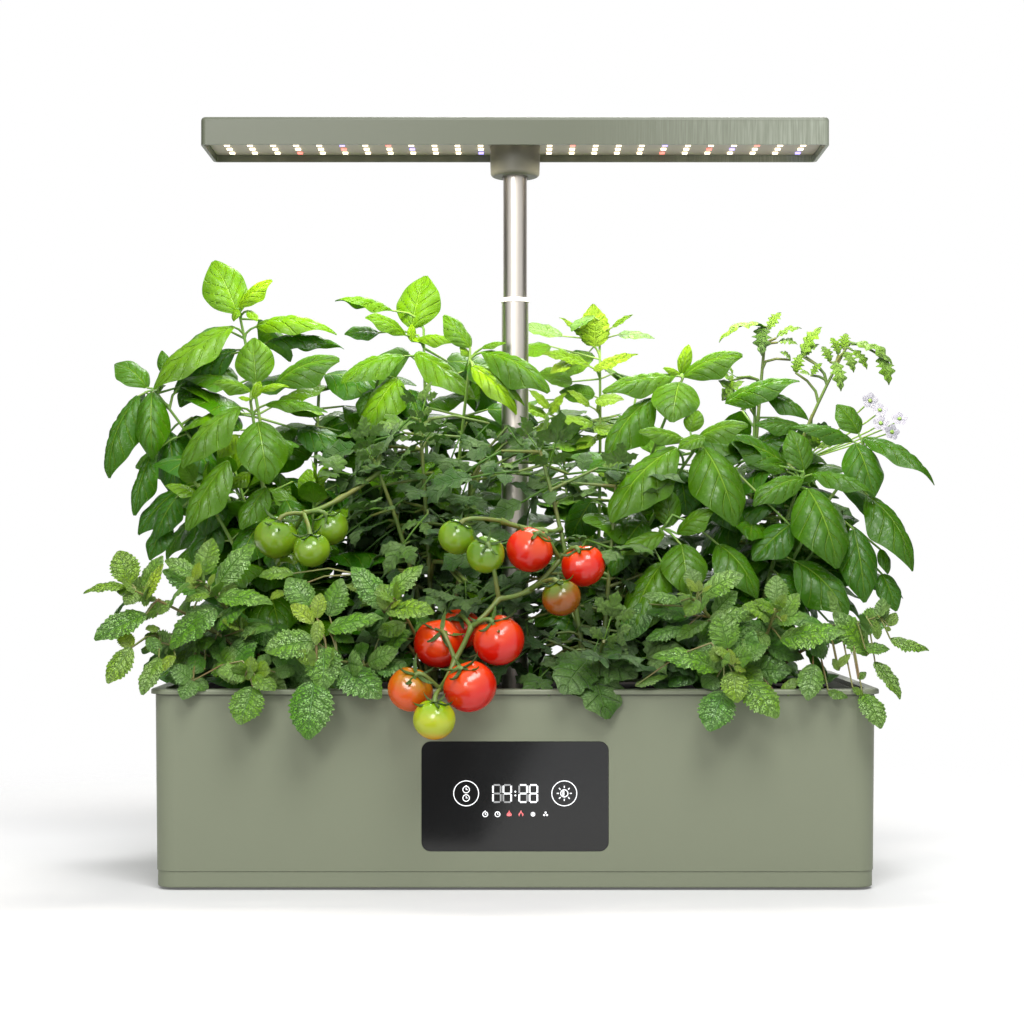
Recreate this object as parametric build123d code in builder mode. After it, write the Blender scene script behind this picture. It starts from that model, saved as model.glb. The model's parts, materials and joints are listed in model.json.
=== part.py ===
# Countertop hydroponic garden: a drafted casing over a base tray, with a water tank, a planting deck
# with twelve net pots, a touch panel, a pump and a telescopic pole that carries an LED grow light.
# +X to the right, +Y to the back, +Z up. The origin is the middle of the footprint, on the surface
# that the rubber feet stand on. All sizes are in millimetres.
import os
from math import cos, radians, sin, tan

from build123d import *

os.makedirs("parts", exist_ok=True)

# ---- fits and clearances ----
slide_clearance = 0.05  # radial, between parts that slide or turn in each other
seat_gap = 0.2  # between parts that are dropped or snapped into place
soft_gap = 0.3  # round fruit and stems

# ---- base tray and feet ----
foot_height = 1.5
foot_radius = 8
foot_recess = 0.8
foot_inset = 34  # from the tray's side to a foot's centre
base_height = 10
base_inset = 0.5  # the tray's side stands this far inside the casing's
base_wall = 2.5
base_floor = 2.5
lip_height = 3  # locating lip above the seam
lip_wall = 1.6

# ---- outer casing ----
body_length = 440
body_depth = 215
body_corner = 12
casing_height = 111  # from the seam to the top of the rim
casing_wall = 3
draft_angle = 0.5
rim_height = 3
rim_overhang = 2.6
rim_opening_length = 430
rim_opening_depth = 205
rim_opening_corner = 7

# ---- water tank ----
wiring_space = 24  # between the tray's floor and the tank's underside
tank_wall = 2
tank_floor = 2
tank_corner = 8
tank_side_gap = 4
tank_rear_gap = 3
electronics_gap = 16.5  # between the casing's front wall and the tank
flange_thickness = 2.5
flange_gap = 0.4
tank_boss_radius = 4.5

# ---- planting deck and pods ----
deck_drop = 8  # from the rim's top down to the deck
deck_thickness = 2.5
deck_gap = 0.6
pod_columns = 4
pod_rows = 3
pod_pitch_x = 100
pod_pitch_y = 62
pot_radius = 15.2
pot_foot_radius = 12
pot_depth = 44
pot_wall = 1.2
pot_rim_radius = 18.5
pot_rim_thickness = 1.6
pot_hole_gap = 0.3
pot_slot_width = 3
pot_slot_height = 26
pot_slots = 8
sponge_gap = 0.6
sponge_rise = 5.5  # how far the growing plug stands above the deck

# ---- fill port and its lid ----
port_x = 192
port_y = 31
port_length = 28
port_width = 30
port_corner = 4
lid_overlap = 3
lid_thickness = 2
hinge_radius = 2.6
hinge_pin_radius = 1.5
hinge_lug_width = 4
hinge_lug_wall = 1.6

# ---- control panel ----
panel_length = 113.8
panel_height = 66.8
panel_corner = 5.5
panel_centre_height = 55.9  # above the underside of the tray
glass_thickness = 1.8
adhesive_thickness = 0.3
panel_ledge = 12
board_length = 108
board_height = 62
board_thickness = 1.6
board_standoff = 3
board_boss_radius = 2.6
board_hole_inset = 5
module_length = 70
module_height = 34
board_screw_radius = 1.25

# ---- power inlet ----
inlet_x = -170
inlet_height = 17  # above the tray's floor
inlet_radius = 5
inlet_flange_radius = 6.8
inlet_flange = 1.2
inlet_length = 14
inlet_bore_radius = 2.85
inlet_bore_depth = 9.5
inlet_pin_radius = 1.05

# ---- telescopic pole ----
pole_y = 22
outer_tube_radius = 9
outer_tube_wall = 0.8
inner_tube_radius = 8
inner_tube_wall = 1
outer_tube_top = 373.9
inner_tube_overlap = 174  # of the two tubes with the light as it stands
bush_collar = 2.8
bush_collar_radius = 9.6
bush_length = 20
socket_radius = 11.75
socket_height = 30
socket_flange_radius = 20
socket_floor = 3
column_radius = 12.5
cable_radius = 4.2
cable_hole_radius = 5.5

# ---- grow light ----
lamp_underside = 473.9
lamp_length = 413
lamp_depth = 63
lamp_height = 18.5
lamp_wall = 2
lamp_corner = 3.5
lamp_edge = 2.5
lamp_recess = 4.7
lamp_board_thickness = 1.6
lamp_board_gap = 0.3
led_columns = 26
led_rows = 4
led_pitch_x = 15.4
led_pitch_y = 13.6
led_size = 3.4
led_thickness = 1
bracket_radius = 17
bracket_foot_radius = 16.3
bracket_drop = 15.9  # below the light's skirt
bracket_edge = 2.5
bracket_neck_radius = 14
bracket_plug = 12  # from the pole's end to the light's top plate
driver_length = 70
driver_depth = 18
driver_height = 7
driver_x = 100
lamp_screw_pitch = 19
screw_radius = 1.5
screw_head_radius = 2.8
screw_head = 1.6

# ---- pump ----
pump_x = 182
pump_y = 58
pump_length = 44
pump_depth = 34
pump_height = 30
pump_corner = 4
pump_foot_height = 4
pump_foot_radius = 5
rotor_radius = 6.5
rotor_length = 22
rotor_shaft_radius = 1.2
rotor_chamber_gap = 1
impeller_radius = 9
impeller_width = 6
impeller_blades = 6
pump_cover_depth = 9
pump_cover_wall = 2
outlet_radius = 5
outlet_wall = 1.2
outlet_length = 44

# ---- water level float ----
float_x = -194
float_y = 31
float_stem_radius = 3
float_stem_length = 72
float_clip_radius = 5.5
float_clip = 2
float_radius = 10
float_height = 16
float_travel = 42

# ---- heights that follow ----
tray_bottom = foot_height
tray_floor_top = tray_bottom + base_floor
seam_height = tray_bottom + base_height
casing_bottom = seam_height + seat_gap
rim_top = casing_bottom + casing_height
rim_bottom = rim_top - rim_height
deck_top = rim_top - deck_drop
deck_bottom = deck_top - deck_thickness
flange_bottom = deck_bottom - flange_thickness
tank_bottom = tray_floor_top + wiring_space
tank_floor_top = tank_bottom + tank_floor
sponge_top = deck_top + sponge_rise
lamp_top = lamp_underside + lamp_height
lamp_plate_underside = lamp_top - lamp_wall
lamp_board_underside = lamp_underside + lamp_recess
pole_seat = tray_floor_top + socket_floor
pole_top = lamp_plate_underside - bracket_plug
lid_length = port_length + 2 * lid_overlap
lid_width = port_width + 2 * lid_overlap

pod_places = [
    [
        (pod_pitch_x * (column - (pod_columns - 1) / 2), pod_pitch_y * (row - (pod_rows - 1) / 2))
        for column in range(pod_columns)
    ]
    for row in range(pod_rows)
]
lamp_centre = Plane((0, pole_y, lamp_board_underside))


def widening(height):
    """How far each wall of the drafted casing leans out at this height."""
    return (height - casing_bottom) * tan(radians(draft_angle))


def export(name, part):
    part.label = name
    export_step(part, f"parts/{name}.step")
    print(f"{name}: {len(part.solids())} solids, {part.volume / 1000:.2f} cm3")


# ---- planes of the two drafted walls that carry the panel and the inlet ----
lean_cos, lean_sin = cos(radians(draft_angle)), sin(radians(draft_angle))
panel_z = tray_bottom + panel_centre_height
panel_face = Plane(
    origin=(0, -body_depth / 2 - widening(panel_z), panel_z),
    x_dir=(1, 0, 0),
    z_dir=(0, -lean_cos, -lean_sin),
)
inlet_z = tray_floor_top + inlet_height
inlet_face = Plane(
    origin=(inlet_x, body_depth / 2 + widening(inlet_z), inlet_z),
    x_dir=(-1, 0, 0),
    z_dir=(0, lean_cos, -lean_sin),
)
board_face = panel_face.offset(-casing_wall - board_standoff)
board_holes = (board_length - 2 * board_hole_inset, board_height - 2 * board_hole_inset)
casing_inner_corner = body_corner - casing_wall

# ---- outer casing: drafted wall, rolled rim, panel pocket and inlet hole ----
with BuildPart() as outer_casing:
    with BuildSketch(Plane.XY.offset(casing_bottom)):
        RectangleRounded(body_length, body_depth, body_corner)
    extrude(amount=rim_bottom - casing_bottom, taper=-draft_angle)
    with BuildSketch(Plane.XY.offset(rim_bottom)):
        RectangleRounded(
            body_length + 2 * (widening(rim_bottom) + rim_overhang),
            body_depth + 2 * (widening(rim_bottom) + rim_overhang),
            body_corner + rim_overhang,
        )
    extrude(amount=rim_height)
    rim_edges = outer_casing.faces().sort_by(Axis.Z)[-1].edges()
    fillet(rim_edges, radius=rim_height * 0.4)
    with BuildSketch(Plane.XY.offset(casing_bottom)):
        RectangleRounded(
            body_length - 2 * casing_wall, body_depth - 2 * casing_wall, casing_inner_corner
        )
    extrude(amount=rim_bottom - casing_bottom, taper=-draft_angle, mode=Mode.SUBTRACT)
    with BuildSketch(Plane.XY.offset(rim_bottom)):
        RectangleRounded(rim_opening_length, rim_opening_depth, rim_opening_corner)
    extrude(amount=rim_height, mode=Mode.SUBTRACT)
    with BuildSketch(panel_face):
        RectangleRounded(
            panel_length + 2 * seat_gap, panel_height + 2 * seat_gap, panel_corner + seat_gap
        )
    extrude(amount=-glass_thickness - adhesive_thickness, mode=Mode.SUBTRACT)
    with BuildSketch(panel_face):
        RectangleRounded(
            panel_length - 2 * panel_ledge, panel_height - 2 * panel_ledge, panel_corner
        )
    extrude(amount=-casing_wall * 1.5, mode=Mode.SUBTRACT)
    with BuildSketch(board_face):
        with GridLocations(*board_holes, 2, 2):
            Circle(board_boss_radius)
        with GridLocations(*board_holes, 2, 2):
            Circle(board_screw_radius + slide_clearance, mode=Mode.SUBTRACT)
    extrude(amount=board_standoff + casing_wall - glass_thickness - 2 * adhesive_thickness)
    with BuildSketch(inlet_face):
        Circle(inlet_radius + seat_gap)
    extrude(amount=-casing_wall * 1.5, mode=Mode.SUBTRACT)
export("outer_casing", outer_casing.part)

# ---- water tank: tub with a hanging flange, an upstand, the dry column and screw bosses ----
tank_length = body_length - 2 * (casing_wall + tank_side_gap)
tank_front = -body_depth / 2 + casing_wall + electronics_gap
tank_rear = body_depth / 2 - casing_wall - tank_rear_gap
tank_depth = tank_rear - tank_front
tank_centre_y = (tank_front + tank_rear) / 2
flange_length = body_length - 2 * (casing_wall + flange_gap)
flange_depth = body_depth - 2 * (casing_wall + flange_gap)
flange_corner = casing_inner_corner - flange_gap
boss_inset = 12
boss_places = [
    (side * (tank_length / 2 - boss_inset) * share, edge)
    for edge in (tank_front + boss_inset, tank_rear - boss_inset)
    for side, share in ((-1, 1), (1, 1), (1, 0))
]
with BuildPart() as inner_tank:
    with BuildSketch(Plane.XY.offset(tank_bottom)):
        with Locations((0, tank_centre_y)):
            RectangleRounded(tank_length, tank_depth, tank_corner)
    extrude(amount=flange_bottom - tank_bottom)
    with BuildSketch(Plane.XY.offset(flange_bottom)):
        RectangleRounded(flange_length, flange_depth, flange_corner)
    extrude(amount=flange_thickness)
    with BuildSketch(Plane.XY.offset(deck_bottom)):
        RectangleRounded(flange_length, flange_depth, flange_corner)
        RectangleRounded(
            flange_length - 2 * tank_wall,
            flange_depth - 2 * tank_wall,
            flange_corner - tank_wall,
            mode=Mode.SUBTRACT,
        )
    extrude(amount=rim_bottom - seat_gap - deck_bottom)
    with BuildSketch(Plane.XY.offset(tank_floor_top)):
        with Locations((0, tank_centre_y)):
            RectangleRounded(
                tank_length - 2 * tank_wall, tank_depth - 2 * tank_wall, tank_corner - tank_wall
            )
    extrude(amount=deck_bottom - tank_floor_top, mode=Mode.SUBTRACT)
    with BuildSketch(Plane.XY.offset(tank_bottom)):
        with Locations((0, pole_y)):
            Circle(column_radius + tank_wall)
    extrude(amount=deck_bottom - tank_bottom)
    with BuildSketch(Plane.XY.offset(tank_bottom)):
        with Locations((0, pole_y)):
            Circle(column_radius)
    extrude(amount=deck_bottom - tank_bottom, mode=Mode.SUBTRACT)
    with BuildSketch(Plane.XY.offset(tray_floor_top)):
        with Locations(*boss_places):
            Circle(tank_boss_radius)
    extrude(amount=wiring_space)
    with BuildSketch(Plane.XY.offset(tray_floor_top)):
        with Locations(*boss_places):
            Circle(screw_radius + slide_clearance)
    extrude(amount=wiring_space / 2, mode=Mode.SUBTRACT)
export("inner_tank", inner_tank.part)

# ---- base tray ----
foot_places = (
    body_length - 2 * (base_inset + foot_inset),
    body_depth - 2 * (base_inset + foot_inset),
)
with BuildPart() as base_tray:
    with BuildSketch(Plane.XY.offset(tray_bottom)):
        RectangleRounded(
            body_length - 2 * base_inset, body_depth - 2 * base_inset, body_corner - base_inset
        )
    extrude(amount=base_height)
    fillet(base_tray.faces().sort_by(Axis.Z)[0].edges(), radius=base_wall * 0.4)
    with BuildSketch(Plane.XY.offset(seam_height)):
        RectangleRounded(
            body_length - 2 * (casing_wall + seat_gap),
            body_depth - 2 * (casing_wall + seat_gap),
            casing_inner_corner - seat_gap,
        )
    extrude(amount=lip_height)
    with BuildSketch(Plane.XY.offset(tray_floor_top)):
        RectangleRounded(
            body_length - 2 * (casing_wall + seat_gap + lip_wall),
            body_depth - 2 * (casing_wall + seat_gap + lip_wall),
            casing_inner_corner - seat_gap - lip_wall,
        )
    extrude(amount=base_height + lip_height, mode=Mode.SUBTRACT)
    with BuildSketch(Plane.XY.offset(tray_bottom)):
        with GridLocations(*foot_places, 2, 2):
            Circle(foot_radius + slide_clearance)
    extrude(amount=foot_recess, mode=Mode.SUBTRACT)
    with BuildSketch(Plane.XY.offset(tray_bottom)):
        with Locations(*boss_places):
            Circle(screw_radius + seat_gap)
    extrude(amount=base_floor, mode=Mode.SUBTRACT)
    with BuildSketch(Plane.XY.offset(tray_bottom)):
        with Locations(*boss_places):
            Circle(screw_head_radius + seat_gap)
    extrude(amount=screw_head, mode=Mode.SUBTRACT)
export("base_tray", base_tray.part)

with BuildPart() as rubber_feet:
    with BuildSketch():
        with GridLocations(*foot_places, 2, 2):
            Circle(foot_radius)
    extrude(amount=foot_height + foot_recess)
    fillet(rubber_feet.edges().group_by(Axis.Z)[0], radius=foot_height / 3)
export("rubber_feet", rubber_feet.part)


def make_screw(length, shank_radius, head_radius, head_height):
    """A screw that points up from the origin, its head's underside at the origin's height."""
    with BuildPart() as screw:
        Cylinder(shank_radius, length, align=(Align.CENTER, Align.CENTER, Align.MIN))
        Cylinder(head_radius, head_height, align=(Align.CENTER, Align.CENTER, Align.MAX))
        with BuildSketch(Plane.XY.offset(-head_height)):
            Rectangle(head_radius * 1.1, head_radius * 0.26)
            Rectangle(head_radius * 0.26, head_radius * 1.1)
        extrude(amount=head_height / 2, mode=Mode.SUBTRACT)
    return screw.part


tray_screw_length = base_floor - screw_head + wiring_space / 2 - 1
tray_screw = make_screw(tray_screw_length, screw_radius, screw_head_radius, screw_head)
with BuildPart() as tray_screws:
    with Locations(Plane.XY.offset(tray_bottom + screw_head)):
        with Locations(*boss_places):
            add(tray_screw)
export("tray_screws", tray_screws.part)

# ---- planting deck ----
pot_hole_radius = pot_radius + pot_hole_gap
hinge_y = port_y + lid_width / 2 + hinge_radius
hinge_z = deck_top + seat_gap + hinge_radius
lug_x = lid_length / 2 - hinge_lug_width / 2
with BuildPart() as grow_deck:
    with BuildSketch(Plane.XY.offset(deck_bottom)):
        RectangleRounded(
            rim_opening_length - 2 * deck_gap,
            rim_opening_depth - 2 * deck_gap,
            rim_opening_corner - deck_gap,
        )
        with GridLocations(pod_pitch_x, pod_pitch_y, pod_columns, pod_rows):
            Circle(pot_hole_radius, mode=Mode.SUBTRACT)
        with Locations((0, pole_y)):
            Circle(outer_tube_radius + soft_gap, mode=Mode.SUBTRACT)
        with Locations((port_x, port_y)):
            RectangleRounded(port_length, port_width, port_corner, mode=Mode.SUBTRACT)
        with Locations((float_x, float_y)):
            Circle(float_stem_radius / 2, mode=Mode.SUBTRACT)
    extrude(amount=deck_thickness)
    fillet(grow_deck.faces().sort_by(Axis.Z)[-1].outer_wire().edges(), radius=deck_thickness * 0.3)
    with BuildSketch(Plane.YZ.offset(port_x)):
        with Locations((hinge_y, hinge_z)):
            Circle(hinge_pin_radius + hinge_lug_wall)
        with Locations((hinge_y, (deck_top + hinge_z) / 2)):
            Rectangle(2 * (hinge_pin_radius + hinge_lug_wall), hinge_z - deck_top)
    extrude(amount=lug_x + hinge_lug_width / 2, both=True)
    with BuildSketch(Plane.YZ.offset(port_x)):
        with Locations((hinge_y, deck_top + 5 * hinge_radius)):
            Rectangle(8 * hinge_radius, 10 * hinge_radius)
    extrude(amount=lug_x - hinge_lug_width / 2, both=True, mode=Mode.SUBTRACT)
    with BuildSketch(Plane.YZ.offset(port_x)):
        with Locations((hinge_y, hinge_z)):
            Circle(hinge_pin_radius + slide_clearance)
    extrude(amount=lid_length, both=True, mode=Mode.SUBTRACT)
export("grow_deck", grow_deck.part)

# ---- fill port lid: a plate with a barrel between the lugs and a pin through them ----
lid_barrel = 2 * (lug_x - hinge_lug_width / 2 - seat_gap)
lid_bottom = deck_top + seat_gap
with BuildPart() as fill_lid:
    with BuildSketch(Plane.XY.offset(lid_bottom)):
        with Locations((port_x, port_y)):
            RectangleRounded(lid_length, lid_width, port_corner)
        with Locations((port_x, port_y - lid_width / 2)):
            Circle(port_corner, mode=Mode.SUBTRACT)
        with Locations((port_x, hinge_y)):
            Rectangle(
                2 * lid_length, 2 * (hinge_pin_radius + hinge_lug_wall + seat_gap), mode=Mode.SUBTRACT
            )
        with Locations((port_x, hinge_y - hinge_radius)):
            Rectangle(lid_barrel, 2 * hinge_radius)
    extrude(amount=lid_thickness)
    with BuildSketch(Plane.YZ.offset(port_x)):
        with Locations((hinge_y, hinge_z)):
            Circle(hinge_radius)
    extrude(amount=lid_barrel / 2, both=True)
    with BuildSketch(Plane.YZ.offset(port_x)):
        with Locations((hinge_y, hinge_z)):
            Circle(hinge_pin_radius)
    extrude(amount=lug_x + hinge_lug_width / 2, both=True)
export("fill_lid", fill_lid.part)

# ---- net pots, a row to each node, and the growing plugs they hold ----
slot_middle = -pot_depth / 2
with BuildPart() as net_pot:
    with BuildSketch(Plane.XZ):
        with BuildLine():
            Polyline(
                (0, -pot_depth),
                (pot_foot_radius, -pot_depth),
                (pot_radius, 0),
                (pot_rim_radius, 0),
                (pot_rim_radius, pot_rim_thickness),
                (pot_radius - pot_wall, pot_rim_thickness),
                (pot_foot_radius - pot_wall, pot_wall - pot_depth),
                (0, pot_wall - pot_depth),
                close=True,
            )
        make_face()
    revolve(axis=Axis.Z)
    with BuildSketch(Plane.XY.offset(slot_middle - pot_slot_height / 2)):
        with PolarLocations(pot_radius, pot_slots):
            Rectangle(pot_radius, pot_slot_width)
    extrude(amount=pot_slot_height, mode=Mode.SUBTRACT)
    with BuildSketch(Plane.XY.offset(-pot_depth)):
        with PolarLocations(pot_foot_radius / 2, pot_slots):
            Circle(pot_slot_width / 2)
    extrude(amount=pot_wall, mode=Mode.SUBTRACT)

for row_name, places in zip(("front", "middle", "rear"), pod_places):
    with BuildPart() as pot_row:
        with Locations(Plane.XY.offset(deck_top)):
            with Locations(*places):
                add(net_pot.part)
    export(f"net_pots_{row_name}", pot_row.part)

plug_bottom = deck_top - pot_depth + pot_wall
with BuildPart() as grow_plug:
    with BuildSketch(Plane.XZ):
        with BuildLine():
            Polyline(
                (0, plug_bottom),
                (pot_foot_radius - pot_wall - sponge_gap, plug_bottom),
                (pot_radius - pot_wall - sponge_gap, deck_top),
                (pot_radius - pot_wall - sponge_gap, sponge_top - sponge_rise / 3),
                (pot_radius - 2 * pot_wall - sponge_gap, sponge_top),
                (0, sponge_top),
                close=True,
            )
        make_face()
    revolve(axis=Axis.Z)

with BuildPart() as grow_plugs:
    with GridLocations(pod_pitch_x, pod_pitch_y, pod_columns, pod_rows):
        add(grow_plug.part)
export("grow_plugs", grow_plugs.part)

# ---- control panel: glass, adhesive frame, display module, board and its screws ----
glass_back = panel_face.offset(-glass_thickness)
with BuildPart() as panel_glass:
    with BuildSketch(glass_back):
        RectangleRounded(panel_length, panel_height, panel_corner)
    extrude(amount=glass_thickness)
export("panel_glass", panel_glass.part)

with BuildPart() as panel_adhesive:
    with BuildSketch(panel_face.offset(-glass_thickness - adhesive_thickness)):
        RectangleRounded(panel_length, panel_height, panel_corner)
        RectangleRounded(
            panel_length - 2 * panel_ledge,
            panel_height - 2 * panel_ledge,
            panel_corner,
            mode=Mode.SUBTRACT,
        )
    extrude(amount=adhesive_thickness)
export("panel_adhesive", panel_adhesive.part)

with BuildPart() as control_board:
    with BuildSketch(board_face.offset(-board_thickness)):
        RectangleRounded(board_length, board_height, board_boss_radius)
        with GridLocations(*board_holes, 2, 2):
            Circle(board_screw_radius + seat_gap, mode=Mode.SUBTRACT)
    extrude(amount=board_thickness)
    with BuildSketch(board_face.offset(-board_thickness)):
        with Locations((-board_length / 4, 0)):
            Rectangle(14, 14)
        with Locations((board_length / 4, -board_height / 4)):
            Rectangle(18, 7)
    extrude(amount=-2)
export("control_board", control_board.part)

with BuildPart() as display_module:
    with BuildSketch(board_face):
        RectangleRounded(module_length, module_height, 1)
    extrude(amount=board_standoff + casing_wall - glass_thickness - seat_gap)
export("display_module", display_module.part)

board_screw = make_screw(board_standoff + board_thickness, board_screw_radius, 2.2, 1.4)
with BuildPart() as board_screws:
    with Locations(board_face.offset(-board_thickness)):
        with GridLocations(*board_holes, 2, 2):
            add(board_screw)
export("board_screws", board_screws.part)

# ---- power inlet ----
with BuildPart() as power_inlet:
    with BuildSketch(inlet_face):
        Circle(inlet_flange_radius)
    extrude(amount=inlet_flange)
    with BuildSketch(inlet_face):
        Circle(inlet_radius)
    extrude(amount=-inlet_length)
    with BuildSketch(inlet_face.offset(inlet_flange)):
        Circle(inlet_bore_radius)
        Circle(inlet_pin_radius, mode=Mode.SUBTRACT)
    extrude(amount=-inlet_bore_depth, mode=Mode.SUBTRACT)
export("power_inlet", power_inlet.part)

# ---- telescopic pole ----
pole_foot = Plane((0, pole_y, tray_floor_top))
inner_tube_bottom = outer_tube_top - inner_tube_overlap
with BuildPart() as pole_socket:
    with BuildSketch(pole_foot):
        Circle(socket_flange_radius)
    extrude(amount=socket_floor)
    with BuildSketch(pole_foot):
        Circle(socket_radius)
    extrude(amount=socket_height)
    with BuildSketch(pole_foot):
        Circle(cable_hole_radius)
    extrude(amount=socket_floor, mode=Mode.SUBTRACT)
    with BuildSketch(pole_foot.offset(socket_floor)):
        Circle(outer_tube_radius + slide_clearance)
    extrude(amount=socket_height, mode=Mode.SUBTRACT)
export("pole_socket", pole_socket.part)

with BuildPart() as outer_tube:
    with BuildSketch(pole_foot.offset(socket_floor)):
        Circle(outer_tube_radius)
        Circle(outer_tube_radius - outer_tube_wall, mode=Mode.SUBTRACT)
    extrude(amount=outer_tube_top - pole_seat)
export("outer_tube", outer_tube.part)

bush_bottom = outer_tube_top - bush_length
with BuildPart() as collar_bush:
    with BuildSketch(Plane((0, pole_y, outer_tube_top))):
        Circle(bush_collar_radius)
    extrude(amount=bush_collar)
    fillet(collar_bush.edges().sort_by(Axis.Z)[-1], radius=bush_collar * 0.3)
    with BuildSketch(Plane((0, pole_y, bush_bottom))):
        Circle(outer_tube_radius - outer_tube_wall - slide_clearance / 2)
    extrude(amount=bush_length)
    with BuildSketch(Plane((0, pole_y, bush_bottom))):
        Circle(inner_tube_radius + slide_clearance)
    extrude(amount=bush_length + bush_collar, mode=Mode.SUBTRACT)
export("collar_bush", collar_bush.part)

with BuildPart() as inner_tube:
    with BuildSketch(Plane((0, pole_y, inner_tube_bottom))):
        Circle(inner_tube_radius)
        Circle(inner_tube_radius - inner_tube_wall, mode=Mode.SUBTRACT)
    extrude(amount=pole_top - inner_tube_bottom)
export("inner_tube", inner_tube.part)

cable_top = lamp_plate_underside - seat_gap
with BuildPart() as lamp_cable:
    with BuildSketch(pole_foot.offset(seat_gap)):
        Circle(cable_radius)
    extrude(amount=cable_top - tray_floor_top - seat_gap)
export("lamp_cable", lamp_cable.part)

# ---- lamp bracket: a cup under the light, with a neck through the LED board ----
bracket_bottom = lamp_underside - bracket_drop
bracket_shoulder = lamp_board_underside - lamp_board_gap
with BuildPart() as lamp_bracket:
    with BuildSketch(Plane.XZ):
        with BuildLine():
            Polyline(
                (0, bracket_bottom),
                (bracket_foot_radius, bracket_bottom),
                (bracket_radius, bracket_shoulder),
                (bracket_neck_radius, bracket_shoulder),
                (bracket_neck_radius, lamp_plate_underside),
                (0, lamp_plate_underside),
                close=True,
            )
        make_face()
    revolve(axis=Axis.Z)
    fillet(lamp_bracket.edges().filter_by(GeomType.CIRCLE).sort_by(Axis.Z)[0], radius=bracket_edge)
    with BuildSketch(Plane.XY.offset(bracket_bottom)):
        Circle(inner_tube_radius + slide_clearance)
    extrude(amount=pole_top - bracket_bottom, mode=Mode.SUBTRACT)
    foot_edges = lamp_bracket.edges().filter_by(GeomType.CIRCLE).group_by(Axis.Z)[0]
    chamfer(foot_edges.sort_by(SortBy.RADIUS)[0], length=1.2)
    with BuildSketch(Plane.XY.offset(pole_top)):
        Circle(cable_hole_radius)
    extrude(amount=bracket_plug, mode=Mode.SUBTRACT)
    with BuildSketch(Plane.XY.offset(lamp_plate_underside)):
        with GridLocations(lamp_screw_pitch, lamp_screw_pitch, 2, 2):
            Circle(screw_radius + slide_clearance)
    extrude(amount=-bracket_plug * 0.7, mode=Mode.SUBTRACT)
lamp_bracket.part.position = (0, pole_y, 0)
export("lamp_bracket", lamp_bracket.part)

# ---- lamp housing: an inverted tray ----
with BuildPart() as lamp_housing:
    with BuildSketch(Plane((0, pole_y, lamp_underside))):
        RectangleRounded(lamp_length, lamp_depth, lamp_corner)
    extrude(amount=lamp_height)
    fillet(lamp_housing.faces().sort_by(Axis.Z)[-1].edges(), radius=lamp_edge)
    with BuildSketch(Plane((0, pole_y, lamp_underside))):
        RectangleRounded(
            lamp_length - 2 * lamp_wall, lamp_depth - 2 * lamp_wall, lamp_corner - lamp_wall
        )
    extrude(amount=lamp_height - lamp_wall, mode=Mode.SUBTRACT)
    with BuildSketch(Plane((0, pole_y, lamp_plate_underside))):
        with GridLocations(lamp_screw_pitch, lamp_screw_pitch, 2, 2):
            Circle(screw_radius + seat_gap)
    extrude(amount=lamp_wall, mode=Mode.SUBTRACT)
    with BuildSketch(Plane((0, pole_y, lamp_top))):
        with GridLocations(lamp_screw_pitch, lamp_screw_pitch, 2, 2):
            Circle(screw_head_radius + seat_gap)
    extrude(amount=-screw_head, mode=Mode.SUBTRACT)
export("lamp_housing", lamp_housing.part)

lamp_screw_length = lamp_wall - screw_head + bracket_plug * 0.6
lamp_screw = make_screw(lamp_screw_length, screw_radius, screw_head_radius, screw_head)
lamp_screw_plane = Plane(
    origin=(0, pole_y, lamp_top - screw_head), x_dir=(1, 0, 0), z_dir=(0, 0, -1)
)
with BuildPart() as lamp_screws:
    with Locations(lamp_screw_plane):
        with GridLocations(lamp_screw_pitch, lamp_screw_pitch, 2, 2):
            add(lamp_screw)
export("lamp_screws", lamp_screws.part)

with BuildPart() as led_board:
    with BuildSketch(lamp_centre):
        RectangleRounded(
            lamp_length - 2 * (lamp_wall + lamp_board_gap),
            lamp_depth - 2 * (lamp_wall + lamp_board_gap),
            lamp_corner - lamp_wall,
        )
        Circle(bracket_neck_radius + lamp_board_gap, mode=Mode.SUBTRACT)
    extrude(amount=lamp_board_thickness)
export("led_board", led_board.part)

with BuildPart() as led_driver:
    with BuildSketch(lamp_centre.offset(lamp_board_thickness)):
        with Locations((driver_x, 0)):
            Rectangle(driver_length, driver_depth)
    extrude(amount=driver_height)
export("led_driver", led_driver.part)

# ---- LED chips, in three colours, left out where the bracket stands ----
led_places = {"white": [], "red": [], "blue": []}
for column in range(led_columns):
    for row in range(led_rows):
        place = (
            led_pitch_x * (column - (led_columns - 1) / 2),
            led_pitch_y * (row - (led_rows - 1) / 2),
        )
        clear_of_bracket = (place[0] ** 2 + place[1] ** 2) ** 0.5 > bracket_radius + led_size / 2
        if not clear_of_bracket:
            continue
        colour = "white"
        if (column + 2 * row) % 8 == 1:
            colour = "red"
        if (3 * column + 5 * row) % 14 == 6:
            colour = "blue"
        led_places[colour].append(place)

for colour, places in led_places.items():
    with BuildPart() as leds:
        with BuildSketch(lamp_centre):
            with Locations(*places):
                Rectangle(led_size, led_size)
        extrude(amount=-led_thickness)
    export(f"leds_{colour}", leds.part)

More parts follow.
